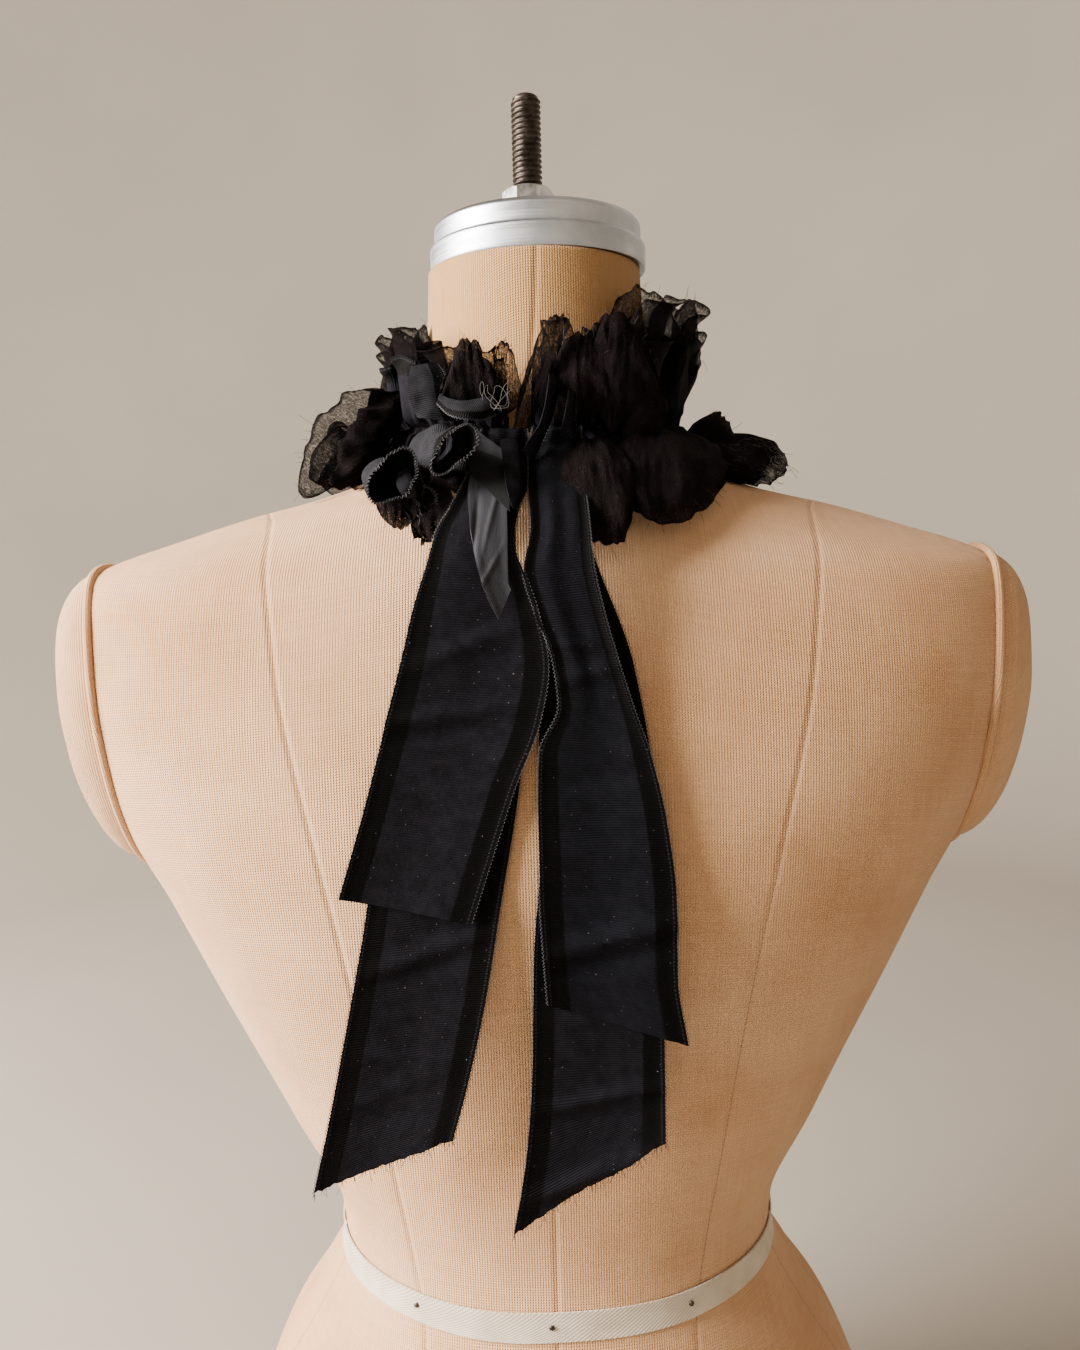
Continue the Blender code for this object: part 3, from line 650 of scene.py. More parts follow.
# neck cap, nut and threaded rod
neckLook = {
    "top": 684.4, "capAxis": (2.0, 18.5), "rodAxis": (-2.0, 18.5), "skirt": 50.8, "lid": 48.6,
    "skirtHeight": 11.0, "height": 21.5, "round": 3.0, "foot": 14.5, "footHeight": 4.5,
    "dentX": 40.0, "dentHeight": 6.0, "dentDepth": 0.7, "nutLift": 0.4, "nutFlats": 20.8, "nutHeight": 12.0,
    "nutTurn": 5.0, "chamfer": 0.62, "boreChamfer": 0.9, "rodRadius": 7.0, "rodTop": 764.5,
    "threadPitch": 2.4, "threadDepth": 1.0,
}
nutFoot = neckLook["top"] + neckLook["height"] + neckLook["footHeight"] + neckLook["nutLift"]


def buildNeckCap():
    look = neckLook
    skirt, lid, turned, foot, rise = [look[key] for key in ("skirt", "lid", "round", "foot", "footHeight")]
    base, step, top = look["top"], look["top"] + look["skirtHeight"], look["top"] + look["height"]
    profile = [(0.5, base), (skirt - 1.2, base), (skirt - 0.3, base + 0.1), (skirt, base + 0.7),
               (skirt, base + 2.0), (skirt, base + 5.0), (skirt + 0.05, base + 8.0), (skirt, step - 1.2),
               (skirt - 0.25, step - 0.5), (skirt - 0.9, step - 0.1), (lid + 0.5, step),
               (lid + 0.1, step + 0.3), (lid, step + 1.0), (lid, step + 3.5), (lid, step + 6.5)]
    for turn in np.radians(range(0, 91, 10)):
        profile.append((lid - turned * (1 - math.cos(turn)), top - turned * (1 - math.sin(turn))))
    profile += [(40, top + 0.1), (28, top + 0.3), (foot + 0.6, top + 0.3)]
    grid = turnedGrid(profile, look["capAxis"], 160)
    # a small dent low on the right of the skirt
    aside, above = grid[:, :, 0] - look["dentX"], grid[:, :, 2] - base - look["dentHeight"]
    dent = np.exp(-(aside / 4.5) ** 2 - (above / 3.5) ** 2) * (grid[:, :, 1] < look["capAxis"][1])
    grid[:, :, 1] += look["dentDepth"] * dent
    profile = [(foot, top - 0.5), (foot, top + rise - 0.8), (foot - 0.8, top + rise), (0.5, top + rise)]
    raised = turnedGrid(profile, look["rodAxis"], 160)
    gridPiece("neckCap", np.concatenate([grid, raised]), aluminium, "neck_cap", roundUp=True,
              caps=True)


def buildNut():
    look = neckLook
    low, high = nutFoot, nutFoot + look["nutHeight"]
    flat = look["nutFlats"] / 2
    turns = np.linspace(0, 2 * math.pi, 145)
    corner = flat / np.cos(np.mod(turns - math.radians(look["nutTurn"]), math.pi / 3) - math.pi / 6)
    slant = (corner - flat) * look["chamfer"] + 0.35
    bore, face, sunk = look["rodRadius"] + 0.25, flat * 0.97, look["boreChamfer"]
    rings = [(bore, low), (face, low), (corner, low + slant), (corner, low + 4), (corner, high - 4),
             (corner, high - slant), (face, high), (bore + sunk, high), (bore, high - sunk), (bore, low)]
    x, y = look["rodAxis"]
    grid = np.array([gridOf(x + r * np.cos(turns), y + r * np.sin(turns), z) for r, z in rings])
    gridPiece("hexNut", grid, zinc, "neck_nut", roundUp=True)


def buildRod():
    look = neckLook
    full, end = look["rodRadius"], look["rodTop"]
    heights = np.arange(nutFoot, end - 1.2, look["threadPitch"] / 8)[:, None]
    turns = np.linspace(0, 2 * math.pi, 33)[None, :]
    place = np.mod(heights / look["threadPitch"] - turns / (2 * math.pi), 1.0)
    radius = full - ramp(np.abs(place - 0.5) * 2, 0.15, 0.75) * look["threadDepth"]
    radius = np.where(heights > end - 2.6, np.minimum(radius, full - 0.8), radius)
    x, y = look["rodAxis"]
    grid = gridOf(x + radius * np.cos(turns), y + radius * np.sin(turns), heights)
    top = turnedGrid([(full - 1.2, end - 0.7), (full - 2.2, end), (0.4, end)], look["rodAxis"], 32)
    gridPiece("threadedRod", np.concatenate([grid, top]), darkSteel, "neck_stud", roundUp=True,
              caps=True)


buildNeckCap()
buildNut()
buildRod()
print("neck hardware made")


tapeLook = {"height": 222.0, "width": 12.0, "wall": 0.8, "standOff": 0.95, "sway": 0.4, "smallSway": 0.3,
            "pins": (-64, -4, 58), "pinRadius": 1.3, "pinLift": 0.5}


def buildTape():
    look = tapeLook
    angles = np.linspace(0, 2 * math.pi, 241)[None, :]
    rows = np.linspace(-look["width"] / 2, look["width"] / 2, 7)[:, None]
    sway = look["sway"] * np.sin(angles * 3) + look["smallSway"] * np.sin(angles * 7 + 1)
    sway[:, -1] = sway[:, 0]
    grid = formPoint(look["height"] + rows + sway, angles, look["standOff"])
    strip = gridPiece("waistTape", grid, tape, "waist_tape", roundUp=True, wall=look["wall"])
    for i, x in enumerate(look["pins"]):
        y = float(formBack(x, look["height"])) - 1.6
        profile = [(0.1, 0.9), (0.7, 0.75), (1.15, 0.35), (look["pinRadius"], 0.0), (0.1, -0.3)]
        head = turnedGrid(profile, (0, 0), 16)
        head = gridOf(head[:, :, 0] + x, y - head[:, :, 2], head[:, :, 1] + look["height"] + look["pinLift"])
        gridPiece("tapePin%d" % (i + 1), head[::-1], darkSteel, roundUp=True, caps=True)
    return strip


waistTape = buildTape()
print("waist tape made")


# The gathered collar: its seam's height and place round the neck, in millimetres and degrees
collarLook = {
    "seamMean": 603.0, "seamBack": 8.0, "seamSides": -7.0, "openingRight": -3.0, "seamStandOff": 4.9,
    "seamHalf": 1.6, "seamWave": 1.5, "seamSunk": 1.2, "ribbonLift": 2.8, "petalLength": 38.0,
    "edgeWave": 1.6, "edgePeriod": 5.0, "rimWidth": 2.4, "rimCover": 0.4, "rootCover": 0.8,
}
upperPetals = (  # width, reach, start, lean, depth, ribbon share
    (15, 43, 2, 16, 5.0, 0.45), (17, 39, 2, 20, 6.0, 0.60), (30, 59, 0, 18, 9.0, 0.66),
    (30, 56, 0, 17, 8.5, 0.74), (27, 48, 4, 24, 8.0, 0.66), (25, 47, 8, 27, 8.0, 0.62),
    (25, 49, 8, 24, 8.0, 0.66), (24, 46, 8, 25, 7.5, 0.60), (25, 49, 8, 24, 8.0, 0.66),
    (25, 46, 8, 25, 8.0, 0.62), (26, 46, 2, 14, 8.0, 0.66), (22, 44, 0, 5, 7.0, 0.70),
    (28, 44, 0, 8, 8.0, 0.72), (18, 37, 2, 22, 6.5, 0.42), (13, 36, 2, 14, 4.0, 0.40),
)
lowerPetals = (
    (10, 28, 14, 44, 2.5, 0.60), (24, 50, 16, 50, 6.0, 0.66), (30, 49, 20, 64, 7.5, 0.68),
    (24, 50, 34, 76, 7.0, 0.68), (28, 56, 48, 92, 10.0, 0.62), (28, 50, 30, 74, 8.0, 0.66),
    (28, 48, 16, 52, 8.0, 0.66), (24, 50, 12, 44, 8.0, 0.66), (28, 48, 16, 52, 8.0, 0.66),
    (28, 50, 30, 74, 8.0, 0.66), (30, 52, 66, 116, 22.0, 0.52), (24, 44, 34, 76, 8.0, 0.72),
    (18, 42, 18, 60, 7.0, 0.78), (18, 40, 16, 52, 5.0, 0.70), (11, 28, 14, 44, 2.5, 0.60),
)


def seamHeight(angle):
    look = collarLook
    return look["seamMean"] + look["seamBack"] * np.cos(angle) + look["seamSides"] * np.cos(2 * angle)


def petalColumns(petals, perDegree, seed):
    # the angle, phase and place of each column, the petal values there and three chance values
    edges = collarLook["openingRight"] + np.concatenate([[0], np.cumsum([petal[0] for petal in petals])])
    angles = np.linspace(edges[0], edges[-1], int((edges[-1] - edges[0]) * perDegree))
    places = np.interp(angles, edges, np.arange(len(petals) + 1))
    centres = np.arange(len(petals)) + 0.5
    values = [np.interp(places, centres, column)[None, :] for column in zip(*petals)]
    chance = np.random.default_rng(seed).uniform(-1, 1, (3, len(petals)))
    chances = [np.interp(places, centres, row)[None, :] for row in chance]
    phases = 2 * math.pi * (np.mod(places, 1.0) - 0.5)
    return np.radians(angles)[None, :], phases[None, :], places[None, :], values, chances


def neckRadius(height, angle, middle):
    point = formPoint(height, angle)
    drift = formSection(height)[2] - middle
    return np.hypot(point[..., 0], point[..., 1] - middle - drift) - drift * np.cos(angle)


def roundNeck(radius, angle, middle, height):
    return gridOf(radius * np.sin(angle), middle - radius * np.cos(angle), height)


def clearOfForm(grid, clearance):
    # raises points of a frill until they are clear of the sloping shoulder
    x, y, z = grid[..., 0], grid[..., 1], grid[..., 2].copy()
    for _ in range(120):
        halfWidth, halfDepth, middle, squareness = formSection(z)
        reach = np.abs(x / (halfWidth + clearance)) ** squareness
        reach = reach + np.abs((y - middle) / (halfDepth + clearance)) ** squareness
        z = np.where(reach < 1, z + 0.25, z)
    return gridOf(x, y, z)


def frillGrid(petals, direction, look, seed):
    # rows run from the seam to the cut edge
    angle, phase, places, values, chances = petalColumns(petals, look["perDegree"], seed)
    width, reach, start, lean, depth, ribbonShare = values
    if look["onCrape"]:
        reach = reach * ribbonShare
        lean = start + (lean - start) * ribbonShare
        depth = depth * ribbonShare
    rows = look["rows"]
    share = np.linspace(0, 1, rows)[:, None] + 0 * angle
    lobe = np.sin(phase / 2) ** 2
    reach = reach * (1 - look["notch"] * lobe ** look["roundness"])
    height = seamHeight(angle)
    middle = formSection(height)[2]
    seamRadius = neckRadius(height, angle, middle)
    # the cloth leans out more and more, and its edge curls over by a chance amount
    curl = look["curl"] * (0.6 + chances[0]) * ramp(share, 0.62, 1.0) ** 2
    leaning = np.radians(start + (lean - start) * share + curl)
    step = reach / (rows - 1)
    out = np.cumsum(np.sin(leaning) * step, axis=0) - np.sin(leaning[0]) * step
    rise = np.cumsum(np.cos(leaning) * step, axis=0) - np.cos(leaning[0]) * step
    rise = rise + collarLook["seamHalf"] + collarLook["ribbonLift"] * np.sin(np.radians(start))
    wave = (collarLook["seamWave"] + (depth - collarLook["seamWave"]) * share) * np.cos(phase)
    height = height + direction * (rise - wave * np.sin(leaning))
    if direction > 0:
        seamRadius = np.maximum(seamRadius, neckRadius(height, angle, middle))
    radius = seamRadius + collarLook["seamStandOff"] + out + wave * np.cos(leaning)
    swing = look["overhang"] * np.sin(2 * phase) * share + look["sway"] * chances[1] * share ** 2
    angle = angle + swing * np.radians(width)
    return roundNeck(radius, angle, middle, height), share, phase, places, reach + 0 * share


def seamRow(grid, angle):
    # the gathered middle of the ruche, which both of its halves run into
    height = seamHeight(angle)
    middle = formSection(height)[2]
    radius = neckRadius(height, angle, middle) + collarLook["seamStandOff"] - collarLook["seamSunk"]
    return np.concatenate([roundNeck(radius, angle, middle, height), grid])


def setRim(piece, rim):
    # the crape's cover at each vertex of the grid, repeated for both faces of the wall
    setValues(piece, "rim", np.tile(rim.ravel(), 2)[:len(piece.data.vertices)])


crapeShape = {"perDegree": 2.6, "rows": 40, "onCrape": False, "notch": 0.24, "roundness": 1.6, "curl": 38.0,
              "overhang": 0.17, "sway": 0.15, "lift": 0.0, "wall": 0.22, "pleats": 7, "pleatDepth": 0.8,
              "flutter": 3.2, "flutterPeriod": 11.0, "crinkle": 0.5, "clear": 1.0}
ribbonShape = {"perDegree": 2.4, "rows": 24, "onCrape": True, "notch": 0.22, "roundness": 1.3, "curl": 34.0,
               "overhang": 0.17, "sway": 0.2, "lift": 2.2, "wall": 0.45, "pleats": 4, "pleatDepth": 1.5,
               "flutter": 3.2, "flutterPeriod": 11.0, "crinkle": 0.0, "clear": 2.2}


def buildFrill(name, petals, direction, node, look, material, seed, twistSeed):
    grid, share, phase, places, reach = frillGrid(petals, direction, look, twistSeed)
    angle = petalColumns(petals, look["perDegree"], twistSeed)[0]
    flat = gridOf(places * collarLook["petalLength"], share * reach, 0)
    bend = 3 * noiseField(flat[:1], 50, seed)
    pleat = look["pleatDepth"] * np.sin(look["pleats"] * phase + bend) * (1 - share) ** 0.8
    soft = look["flutter"] * ramp(share, 0.15, 1.0) * noiseField(flat, look["flutterPeriod"], seed + 5)
    fine = look["crinkle"] * noiseField(flat * (1.0, 0.35, 1.0), 2.2, seed + 9)
    offset = look["lift"] * ramp(share, 0.0, 0.08) + pleat + soft + fine
    grid = grid + direction * gridNormals(grid) * offset[:, :, None]
    wave = collarLook["edgeWave"] * ramp(share, 0.6, 1.0)
    grid[:, :, 2] += direction * wave * noiseField(flat * (1.0, 0.0, 1.0), collarLook["edgePeriod"], seed + 2)
    if direction < 0:
        grid = clearOfForm(grid, look["clear"])
    grid = seamRow(grid, angle)
    share = np.concatenate([share[:1] * 0, share])
    reach = np.concatenate([reach[:1], reach])
    along = np.broadcast_to(lengthAlong(grid, 1)[look["rows"] // 2], share.shape)
    if look["onCrape"]:
        uv = gridOf(ribbonHalf * (1 + share), along)
    else:
        uv = gridOf(along, share * reach)
    rim = ramp(share * reach, reach - collarLook["rimWidth"], reach - 0.6) * collarLook["rimCover"]
    # the folds lie close together near the seam, so little shows through there
    rim = np.maximum(rim, collarLook["rootCover"] * (1 - ramp(share, 0.35, 0.85)))
    if direction < 0:
        grid, uv, rim = grid[::-1], uv[::-1], rim[::-1]
    piece = gridPiece(name, grid, material, node, uv, look["wall"])
    setRim(piece, rim)
    return piece


bandLook = {"low": -2.2, "high": 6.6, "standOff": 1.4, "pucker": 0.25, "wall": 0.7}


def buildNeckBand():
    look = bandLook
    start = math.radians(collarLook["openingRight"])
    sweep = math.radians(sum(petal[0] for petal in upperPetals))
    angles = start + sweep * np.linspace(0, 1, 200)[None, :]
    rises = np.linspace(look["low"], look["high"], 9)[:, None]
    grid = formPoint(seamHeight(angles) + rises, angles, look["standOff"])
    grid += gridNormals(grid) * (look["pucker"] * np.sin(angles * 40))[:, :, None]
    uv = gridOf(ribbonHalf + rises, lengthAlong(grid, 1))
    return gridPiece("neckBand", grid, ribbonMatt, "neck_band", uv, look["wall"])


# The lobes of crape that show at the back. Each is sewn in at its root and ends in an edge that bends
# through its left end, its tip and its right end: (across, down, y) for each. Then come how far its
# belly stands out, in millimetres, and how far it is doubled, from 0 for one sheer layer to 1.
crapeLobes = {
    "sideLow": ((392, 400, 4), (385, 400, 12), (398, 334, 8), (414, 372, 4), 4.0, 0.1),
    "sideHigh": ((424, 405, -8), (405, 372, 2), (421, 328, -2), (437, 372, -10), 5.0, 0.4),
    "leftFold": ((472, 416, -50), (443, 388, -60), (464, 338, -62), (492, 378, -62), 8.0, 0.7),
    "leftInner": ((500, 415, -50), (487, 385, -56), (504, 342, -60), (521, 388, -58), 4.0, 0.0),
    "rightInner": ((536, 425, -50), (521, 405, -54), (552, 318, -62), (579, 352, -62), 6.0, 0.0),
    "rightKnot": ((574, 424, -52), (551, 378, -66), (580, 330, -70), (607, 372, -68), 8.0, 0.7),
    "rightBack": ((640, 410, -22), (601, 345, -28), (637, 286, -30), (682, 335, -22), 4.0, 0.0),
    "rightFront": ((612, 432, -48), (588, 345, -66), (626, 318, -68), (667, 398, -58), 10.0, 0.6),
    "rightEar": ((672, 400, -4), (672, 350, 2), (690, 302, 4), (703, 350, 4), 4.0, 0.2),
    "leftSheer": ((374, 450, -10), (299, 492, -30), (326, 410, -12), (384, 392, 6), 5.0, 0.0),
    "leftDark": ((392, 440, -20), (330, 486, -50), (352, 420, -30), (392, 392, -8), 5.0, 0.75),
    "leftLow": ((402, 466, -66), (374, 500, -82), (396, 528, -86), (424, 508, -88), 6.0, 0.75),
    "leftLower": ((430, 478, -72), (408, 518, -88), (426, 540, -90), (450, 508, -90), 5.0, 0.75),
    "rightLow": ((590, 438, -60), (566, 515, -88), (612, 545, -92), (634, 508, -86), 9.0, 0.9),
    "rightWide": ((650, 432, -44), (622, 500, -80), (676, 522, -80), (724, 484, -56), 9.0, 0.6),
    "rightTip": ((690, 440, -14), (716, 478, -34), (772, 482, -20), (785, 452, -8), 3.5, 0.5),
    "rightFold": ((694, 442, -14), (700, 430, -10), (718, 414, -8), (744, 440, -8), 4.0, 0.7),
}
lobeLook = {
    "rows": 34, "columns": 46, "rootShare": 0.45, "wall": 0.22, "fullness": 0.16, "flutter": 3.8,
    "flutterPeriod": 9.0, "fold": 0.8, "crinkle": 0.7, "ragged": 3.0, "raggedPeriod": 4.6,
    "rimCover": 0.4, "looseEnds": 12, "looseLengths": (1.0, 4.5),
}


def buildLobe(name, root, left, tip, right, bulge, doubled, seed):
    look = lobeLook
    root, left, tip, right = [seen(*corner) for corner in (root, left, tip, right)]
    width = right - left
    size = np.linalg.norm(tip - root)
    t = np.linspace(-1, 1, look["columns"])[None, :, None]
    share = np.linspace(0, 1, look["rows"])[:, None, None]
    over, down = t[..., 0], share[..., 0]
    edge = tip + width / 2 * t + ((left + right) / 2 - tip) * np.abs(t) ** 2.3
    ragged = look["ragged"] * noiseField(gridOf(over * 25.0, 0, seed * 9), look["raggedPeriod"])[..., None]
    edge = edge + (tip - root) / size * ragged * (1 - np.abs(t) ** 6)
    start = root + width / 2 * look["rootShare"] * np.sign(t) * np.abs(t) ** 1.2
    facing = np.cross(width, tip - root)
    facing /= np.linalg.norm(facing) * (1 if facing[1] < 0 else -1)
    # full sides, and a belly towards the camera that fades to the edge
    side = np.sin(math.pi * share) * look["fullness"] * width * t
    belly = facing * bulge * np.sin(math.pi * share ** 0.8) * (1 - 0.6 * t * t)
    grid = start + (edge - start) * share + side + belly
    flat = gridOf(over * np.linalg.norm(width) / 2, down * size, seed * 31.0)
    flutter = look["flutter"] * ramp(down, 0.25, 1.0) * noiseField(flat, look["flutterPeriod"], seed)
    folds = look["fold"] * np.sin(over * 7 + 2 * down + seed) * (1 - down)
    fine = look["crinkle"] * noiseField(flat * (1.0, 0.3, 1.0), 2.2, seed + 4)
    grid = grid + gridNormals(grid) * (flutter + folds + fine)[:, :, None]
    rim = np.maximum(ramp(down * size, size - 2.2, size - 0.7), ramp(np.abs(over), 0.93, 0.99))
    rim = np.maximum(look["rimCover"] * rim, doubled * (1 - 0.45 * ramp(down, 0.6, 0.97)))
    uv = flat[:, :, :2] + (40.0 * seed, 0.0)
    addLooseEnds(grid[-1], edge[0] - start[0], look["looseEnds"], look["looseLengths"], seed)
    # the outer face has to face the camera
    if np.cross(grid[5, -1] - grid[5, 0], grid[-1, 20] - grid[0, 20])[1] > 0:
        grid, uv, rim = grid[::-1], uv[::-1], rim[::-1]
    setRim(gridPiece(name, grid, crape, None, uv, look["wall"]), rim)


neckBand = buildNeckBand()
crapeUpper = buildFrill("crapeFrillUpper", upperPetals, 1, "crape_frill_upper", crapeShape, crape,
                        1.0, 3)
crapeLower = buildFrill("crapeFrillLower", lowerPetals, -1, "crape_frill_lower", crapeShape, crape,
                        21.0, 4)
ribbonUpper = buildFrill("ribbonFrillUpper", upperPetals, 1, "ribbon_frill_upper", ribbonShape, ribbonMatt,
                         41.0, 3)
ribbonLower = buildFrill("ribbonFrillLower", lowerPetals, -1, "ribbon_frill_lower", ribbonShape, ribbonMatt,
                         61.0, 4)
for number, (word, values) in enumerate(crapeLobes.items()):
    buildLobe("crapeLobe" + word[0].upper() + word[1:], *values, number + 1.0)
crapeFolds = joinPieces("crapeLobe", "crapeFolds")
print("collar made")


# The ribbon stands in two open loops at the left of the opening, with a small one below them. Each is a
# short tube: middle as (across, down, y), then half width, half height and tilt, first of its back ring
# and then of its front rim, which is the ribbon's looped edge.
ribbonLoops = {
    "inner": ((430, 448, -64), (19, 22, 30), (455, 449, -93), (14, 29, 32)),
    "outer": ((386, 482, -62), (22, 22, 30), (394, 478, -91), (19, 29, 42)),
    "low": ((414, 488, -66), (14, 11, 30), (424, 496, -86), (13, 10, 30)),
}
loopLook = {"wall": 0.45, "edgeGap": 1.35, "edgeReach": 0.55, "crumple": 3.0, "crumplePeriod": 8.0,
            "waist": 0.16, "mouth": 0.05}


def ovalRing(middle, shape, turns):
    across, down, y = middle
    wide, high, tilt = shape
    tilt = math.radians(tilt)
    ring = []
    for turn in turns:
        a, d = wide * math.cos(turn), high * math.sin(turn)
        ring.append(seen(across + a * math.cos(tilt) - d * math.sin(tilt),
                         down + a * math.sin(tilt) + d * math.cos(tilt), y))
    return np.array(ring)


def buildLoop(name, back, backShape, front, frontShape, seed):
    look = loopLook
    turns = np.linspace(0, 2 * math.pi, 241)
    share = np.linspace(0, 1, 20)[:, None, None]
    backRing = ovalRing(back, backShape, turns)
    frontRing = ovalRing(front, frontShape, turns)
    grid = backRing + (frontRing - backRing) * share
    middle = grid.mean(axis=1, keepdims=True)
    waist = 1 - look["waist"] * np.sin(math.pi * share) + look["mouth"] * share ** 4
    grid = middle + (grid - middle) * waist
    lump = noiseField(grid, look["crumplePeriod"], seed) * look["crumple"]
    count = max(1, round(lengthAlong(grid, 1)[-1, -1] / look["edgeGap"]))
    lump[-1] += look["edgeReach"] * np.sign(np.sin(turns * count))
    lump[:, -1] = lump[:, 0]
    outward = (grid - middle) / np.linalg.norm(grid - middle, axis=2, keepdims=True)
    grid = grid + outward * lump[:, :, None]
    uv = gridOf(ribbonHalf + ribbonHalf * share[..., 0], lengthAlong(grid, 1))
    addLoopedEdge(grid[-1], grid[-3])
    # the loops take the lighter copy of the ribbon, painted light for where they catch the light
    gridPiece(name, grid[:, ::-1], ribbonPaintedLit, None, uv[:, ::-1], look["wall"])


# Narrow turned ends and folds of the ribbon near the opening: left and right edge of each station as
# (across, down, y), from one end to the other. Those named Brim or Lit get the lighter copy of the ribbon,
# painted light for folds that catch the light.
ribbonTurns = {
    "rightTwist": (((514, 476, -72), (530, 470, -70)), ((524, 448, -74), (543, 440, -70)),
                   ((540, 422, -76), (552, 418, -68)), ((546, 398, -74), (556, 402, -66)),
                   ((549, 374, -70), (562, 380, -62))),
    "rightStreak": (((560, 436, -70), (578, 440, -64)), ((565, 412, -74), (575, 418, -66)),
                    ((568, 390, -74), (576, 394, -68))),
    "leftBrim": (((440, 394, -58), (437, 403, -64)), ((450, 399, -64), (449, 414, -72)),
                 ((464, 401, -67), (464, 418, -76)), ((480, 398, -65), (480, 419, -74)),
                 ((493, 396, -60), (496, 414, -68))),
    "leftPleatLit": (((411, 367, -50), (436, 362, -48)), ((408, 384, -56), (446, 380, -54)),
                     ((410, 402, -60), (450, 402, -58)), ((418, 418, -62), (456, 422, -62))),
    "outerLit": (((398, 472, -84), (414, 466, -82)), ((396, 482, -88), (420, 478, -86)),
                 ((400, 492, -90), (423, 488, -88)), ((406, 499, -90), (421, 496, -88))),
    "leftKnot": (((500, 440, -72), (524, 436, -66)), ((503, 462, -82), (527, 462, -76)),
                 ((506, 484, -90), (527, 486, -84)), ((511, 506, -95), (516, 510, -94))),
}


turnLook = {"lump": 1.5, "lumpPeriod": 7.0, "cup": 1.2, "wall": 0.45}


def buildTurn(name, stations, seed):
    look = turnLook
    rows = np.array([[seen(*corner) for corner in station] for station in stations])
    places = np.linspace(0, 1, len(rows))
    at = np.linspace(0, 1, 40)
    left, right = [gridOf(*[smoothCurve(places, rows[:, side, k])(at) for k in range(3)])[:, None]
                   for side in (0, 1)]
    over = np.linspace(0, 1, 16)[None, :, None]
    grid = left + (right - left) * over
    over = over[..., 0]
    lump = noiseField(grid, look["lumpPeriod"], seed) * look["lump"]
    grid[:, :, 1] += lump - look["cup"] * np.sin(math.pi * over)
    uv = gridOf(ribbonHalf + ribbonHalf * over, lengthAlong(grid, 0))
    addLoopedEdge(grid[:, -1], grid[:, -3])
    if np.cross(grid[20, -1] - grid[20, 0], grid[-1, 8] - grid[0, 8])[1] > 0:
        grid, uv = grid[::-1], uv[::-1]
    # Brim and Lit pieces take the lighter copy of the ribbon, which is painted light
    material = ribbonPaintedLit if name.endswith(("Brim", "Lit")) else ribbonMatt
    gridPiece(name, grid, material, None, uv, look["wall"])


for number, (word, values) in enumerate(ribbonLoops.items()):
    buildLoop("ribbonPart" + word, *values, number + 3.0)
for number, (word, stations) in enumerate(ribbonTurns.items()):
    buildTurn("ribbonPart" + word[0].upper() + word[1:], stations, number + 13.0)
ribbonFolds = joinPieces("ribbonPart", "ribbonFolds")
print("ribbon loops made")


hangRows = (  # height, y of the under ribbons
    (270, -110.5), (400, -110.0), (430, -108.6), (460, -107.0), (500, -103.5), (540, -100.5),
    (552, -98.0), (564, -92.5), (574, -84.5), (580, -77.0), (586, -70.0), (592, -65.0),
    (598, -60.5), (604, -52.0),
)
hangY = smoothCurve(*zip(*hangRows))
tailLook = {"topStandOff": 10.6, "layerStep": 2.6, "ripple": 0.6, "crowding": 1.6, "wall": 0.5, "clear": 0.9,
            "pleats": 2.6, "pleatDepth": 0.5, "edgeCurl": 0.5, "curlWidth": 3.5, "raggedPeriod": 2.4,
            "frayFrom": 1.0, "frayEnds": 90, "frayLengths": (0.8, 3.2)}
tails = {  # left x, left height, right x, right height, from the collar down
    "tail_left_lower": ((-26, 603, -10, 603), (-34, 562, -10, 560), (-52, 520, -5, 515),
                        (-63, 474, -11, 466), (-71, 419, -19, 422), (-80, 376, -27, 379),
                        (-90, 332, -36, 342), (-97, 304, -41, 325)),
    "tail_left_upper": ((-23, 605, -5, 604), (-27, 590, -4, 590), (-34, 574, -8, 573), (-40, 563, -11, 559),
                        (-44, 550, -7, 547), (-49, 535, -2, 531), (-54, 516, 1, 512), (-60, 495, -3, 490),
                        (-66, 473, -13, 466), (-71, 456, -19, 449), (-81, 425, -31, 414)),
    "tail_right_lower": ((1, 603, 13, 603), (-1, 560, 18, 560), (-3, 510, 34, 510), (-3, 450, 42, 450),
                         (-7, 400, 43, 400), (-9, 350, 43, 350), (-12, 318, 43, 336), (-18, 284, 43, 322)),
    "tail_right_upper": ((-2, 605, 17, 605), (-5, 588, 17, 588), (-4, 565, 18, 566), (-7, 548, 19, 550),
                         (-3, 532, 22, 534), (3, 515, 27, 515), (5, 497, 33, 495), (-3, 478, 40, 474),
                         (-4, 450, 45, 450), (-4, 425, 48, 420), (-3, 400, 48, 392), (-2, 381, 52, 363)),
    "lining_tail": ((-25, 604, -14, 595), (-27, 592, -13, 587), (-28, 578, -13, 575), (-27, 565, -13, 562),
                    (-25, 553, -13, 551), (-22, 541, -13, 544), (-17, 530, -12, 541)),
}


def collarBack(x):
    halfWidth, halfDepth, middle, _ = formSection(seamHeight(0.0))
    radius = (halfWidth + halfDepth) / 2 + tailLook["topStandOff"]
    return middle - np.sqrt(np.maximum(radius * radius - x * x, 0.0))


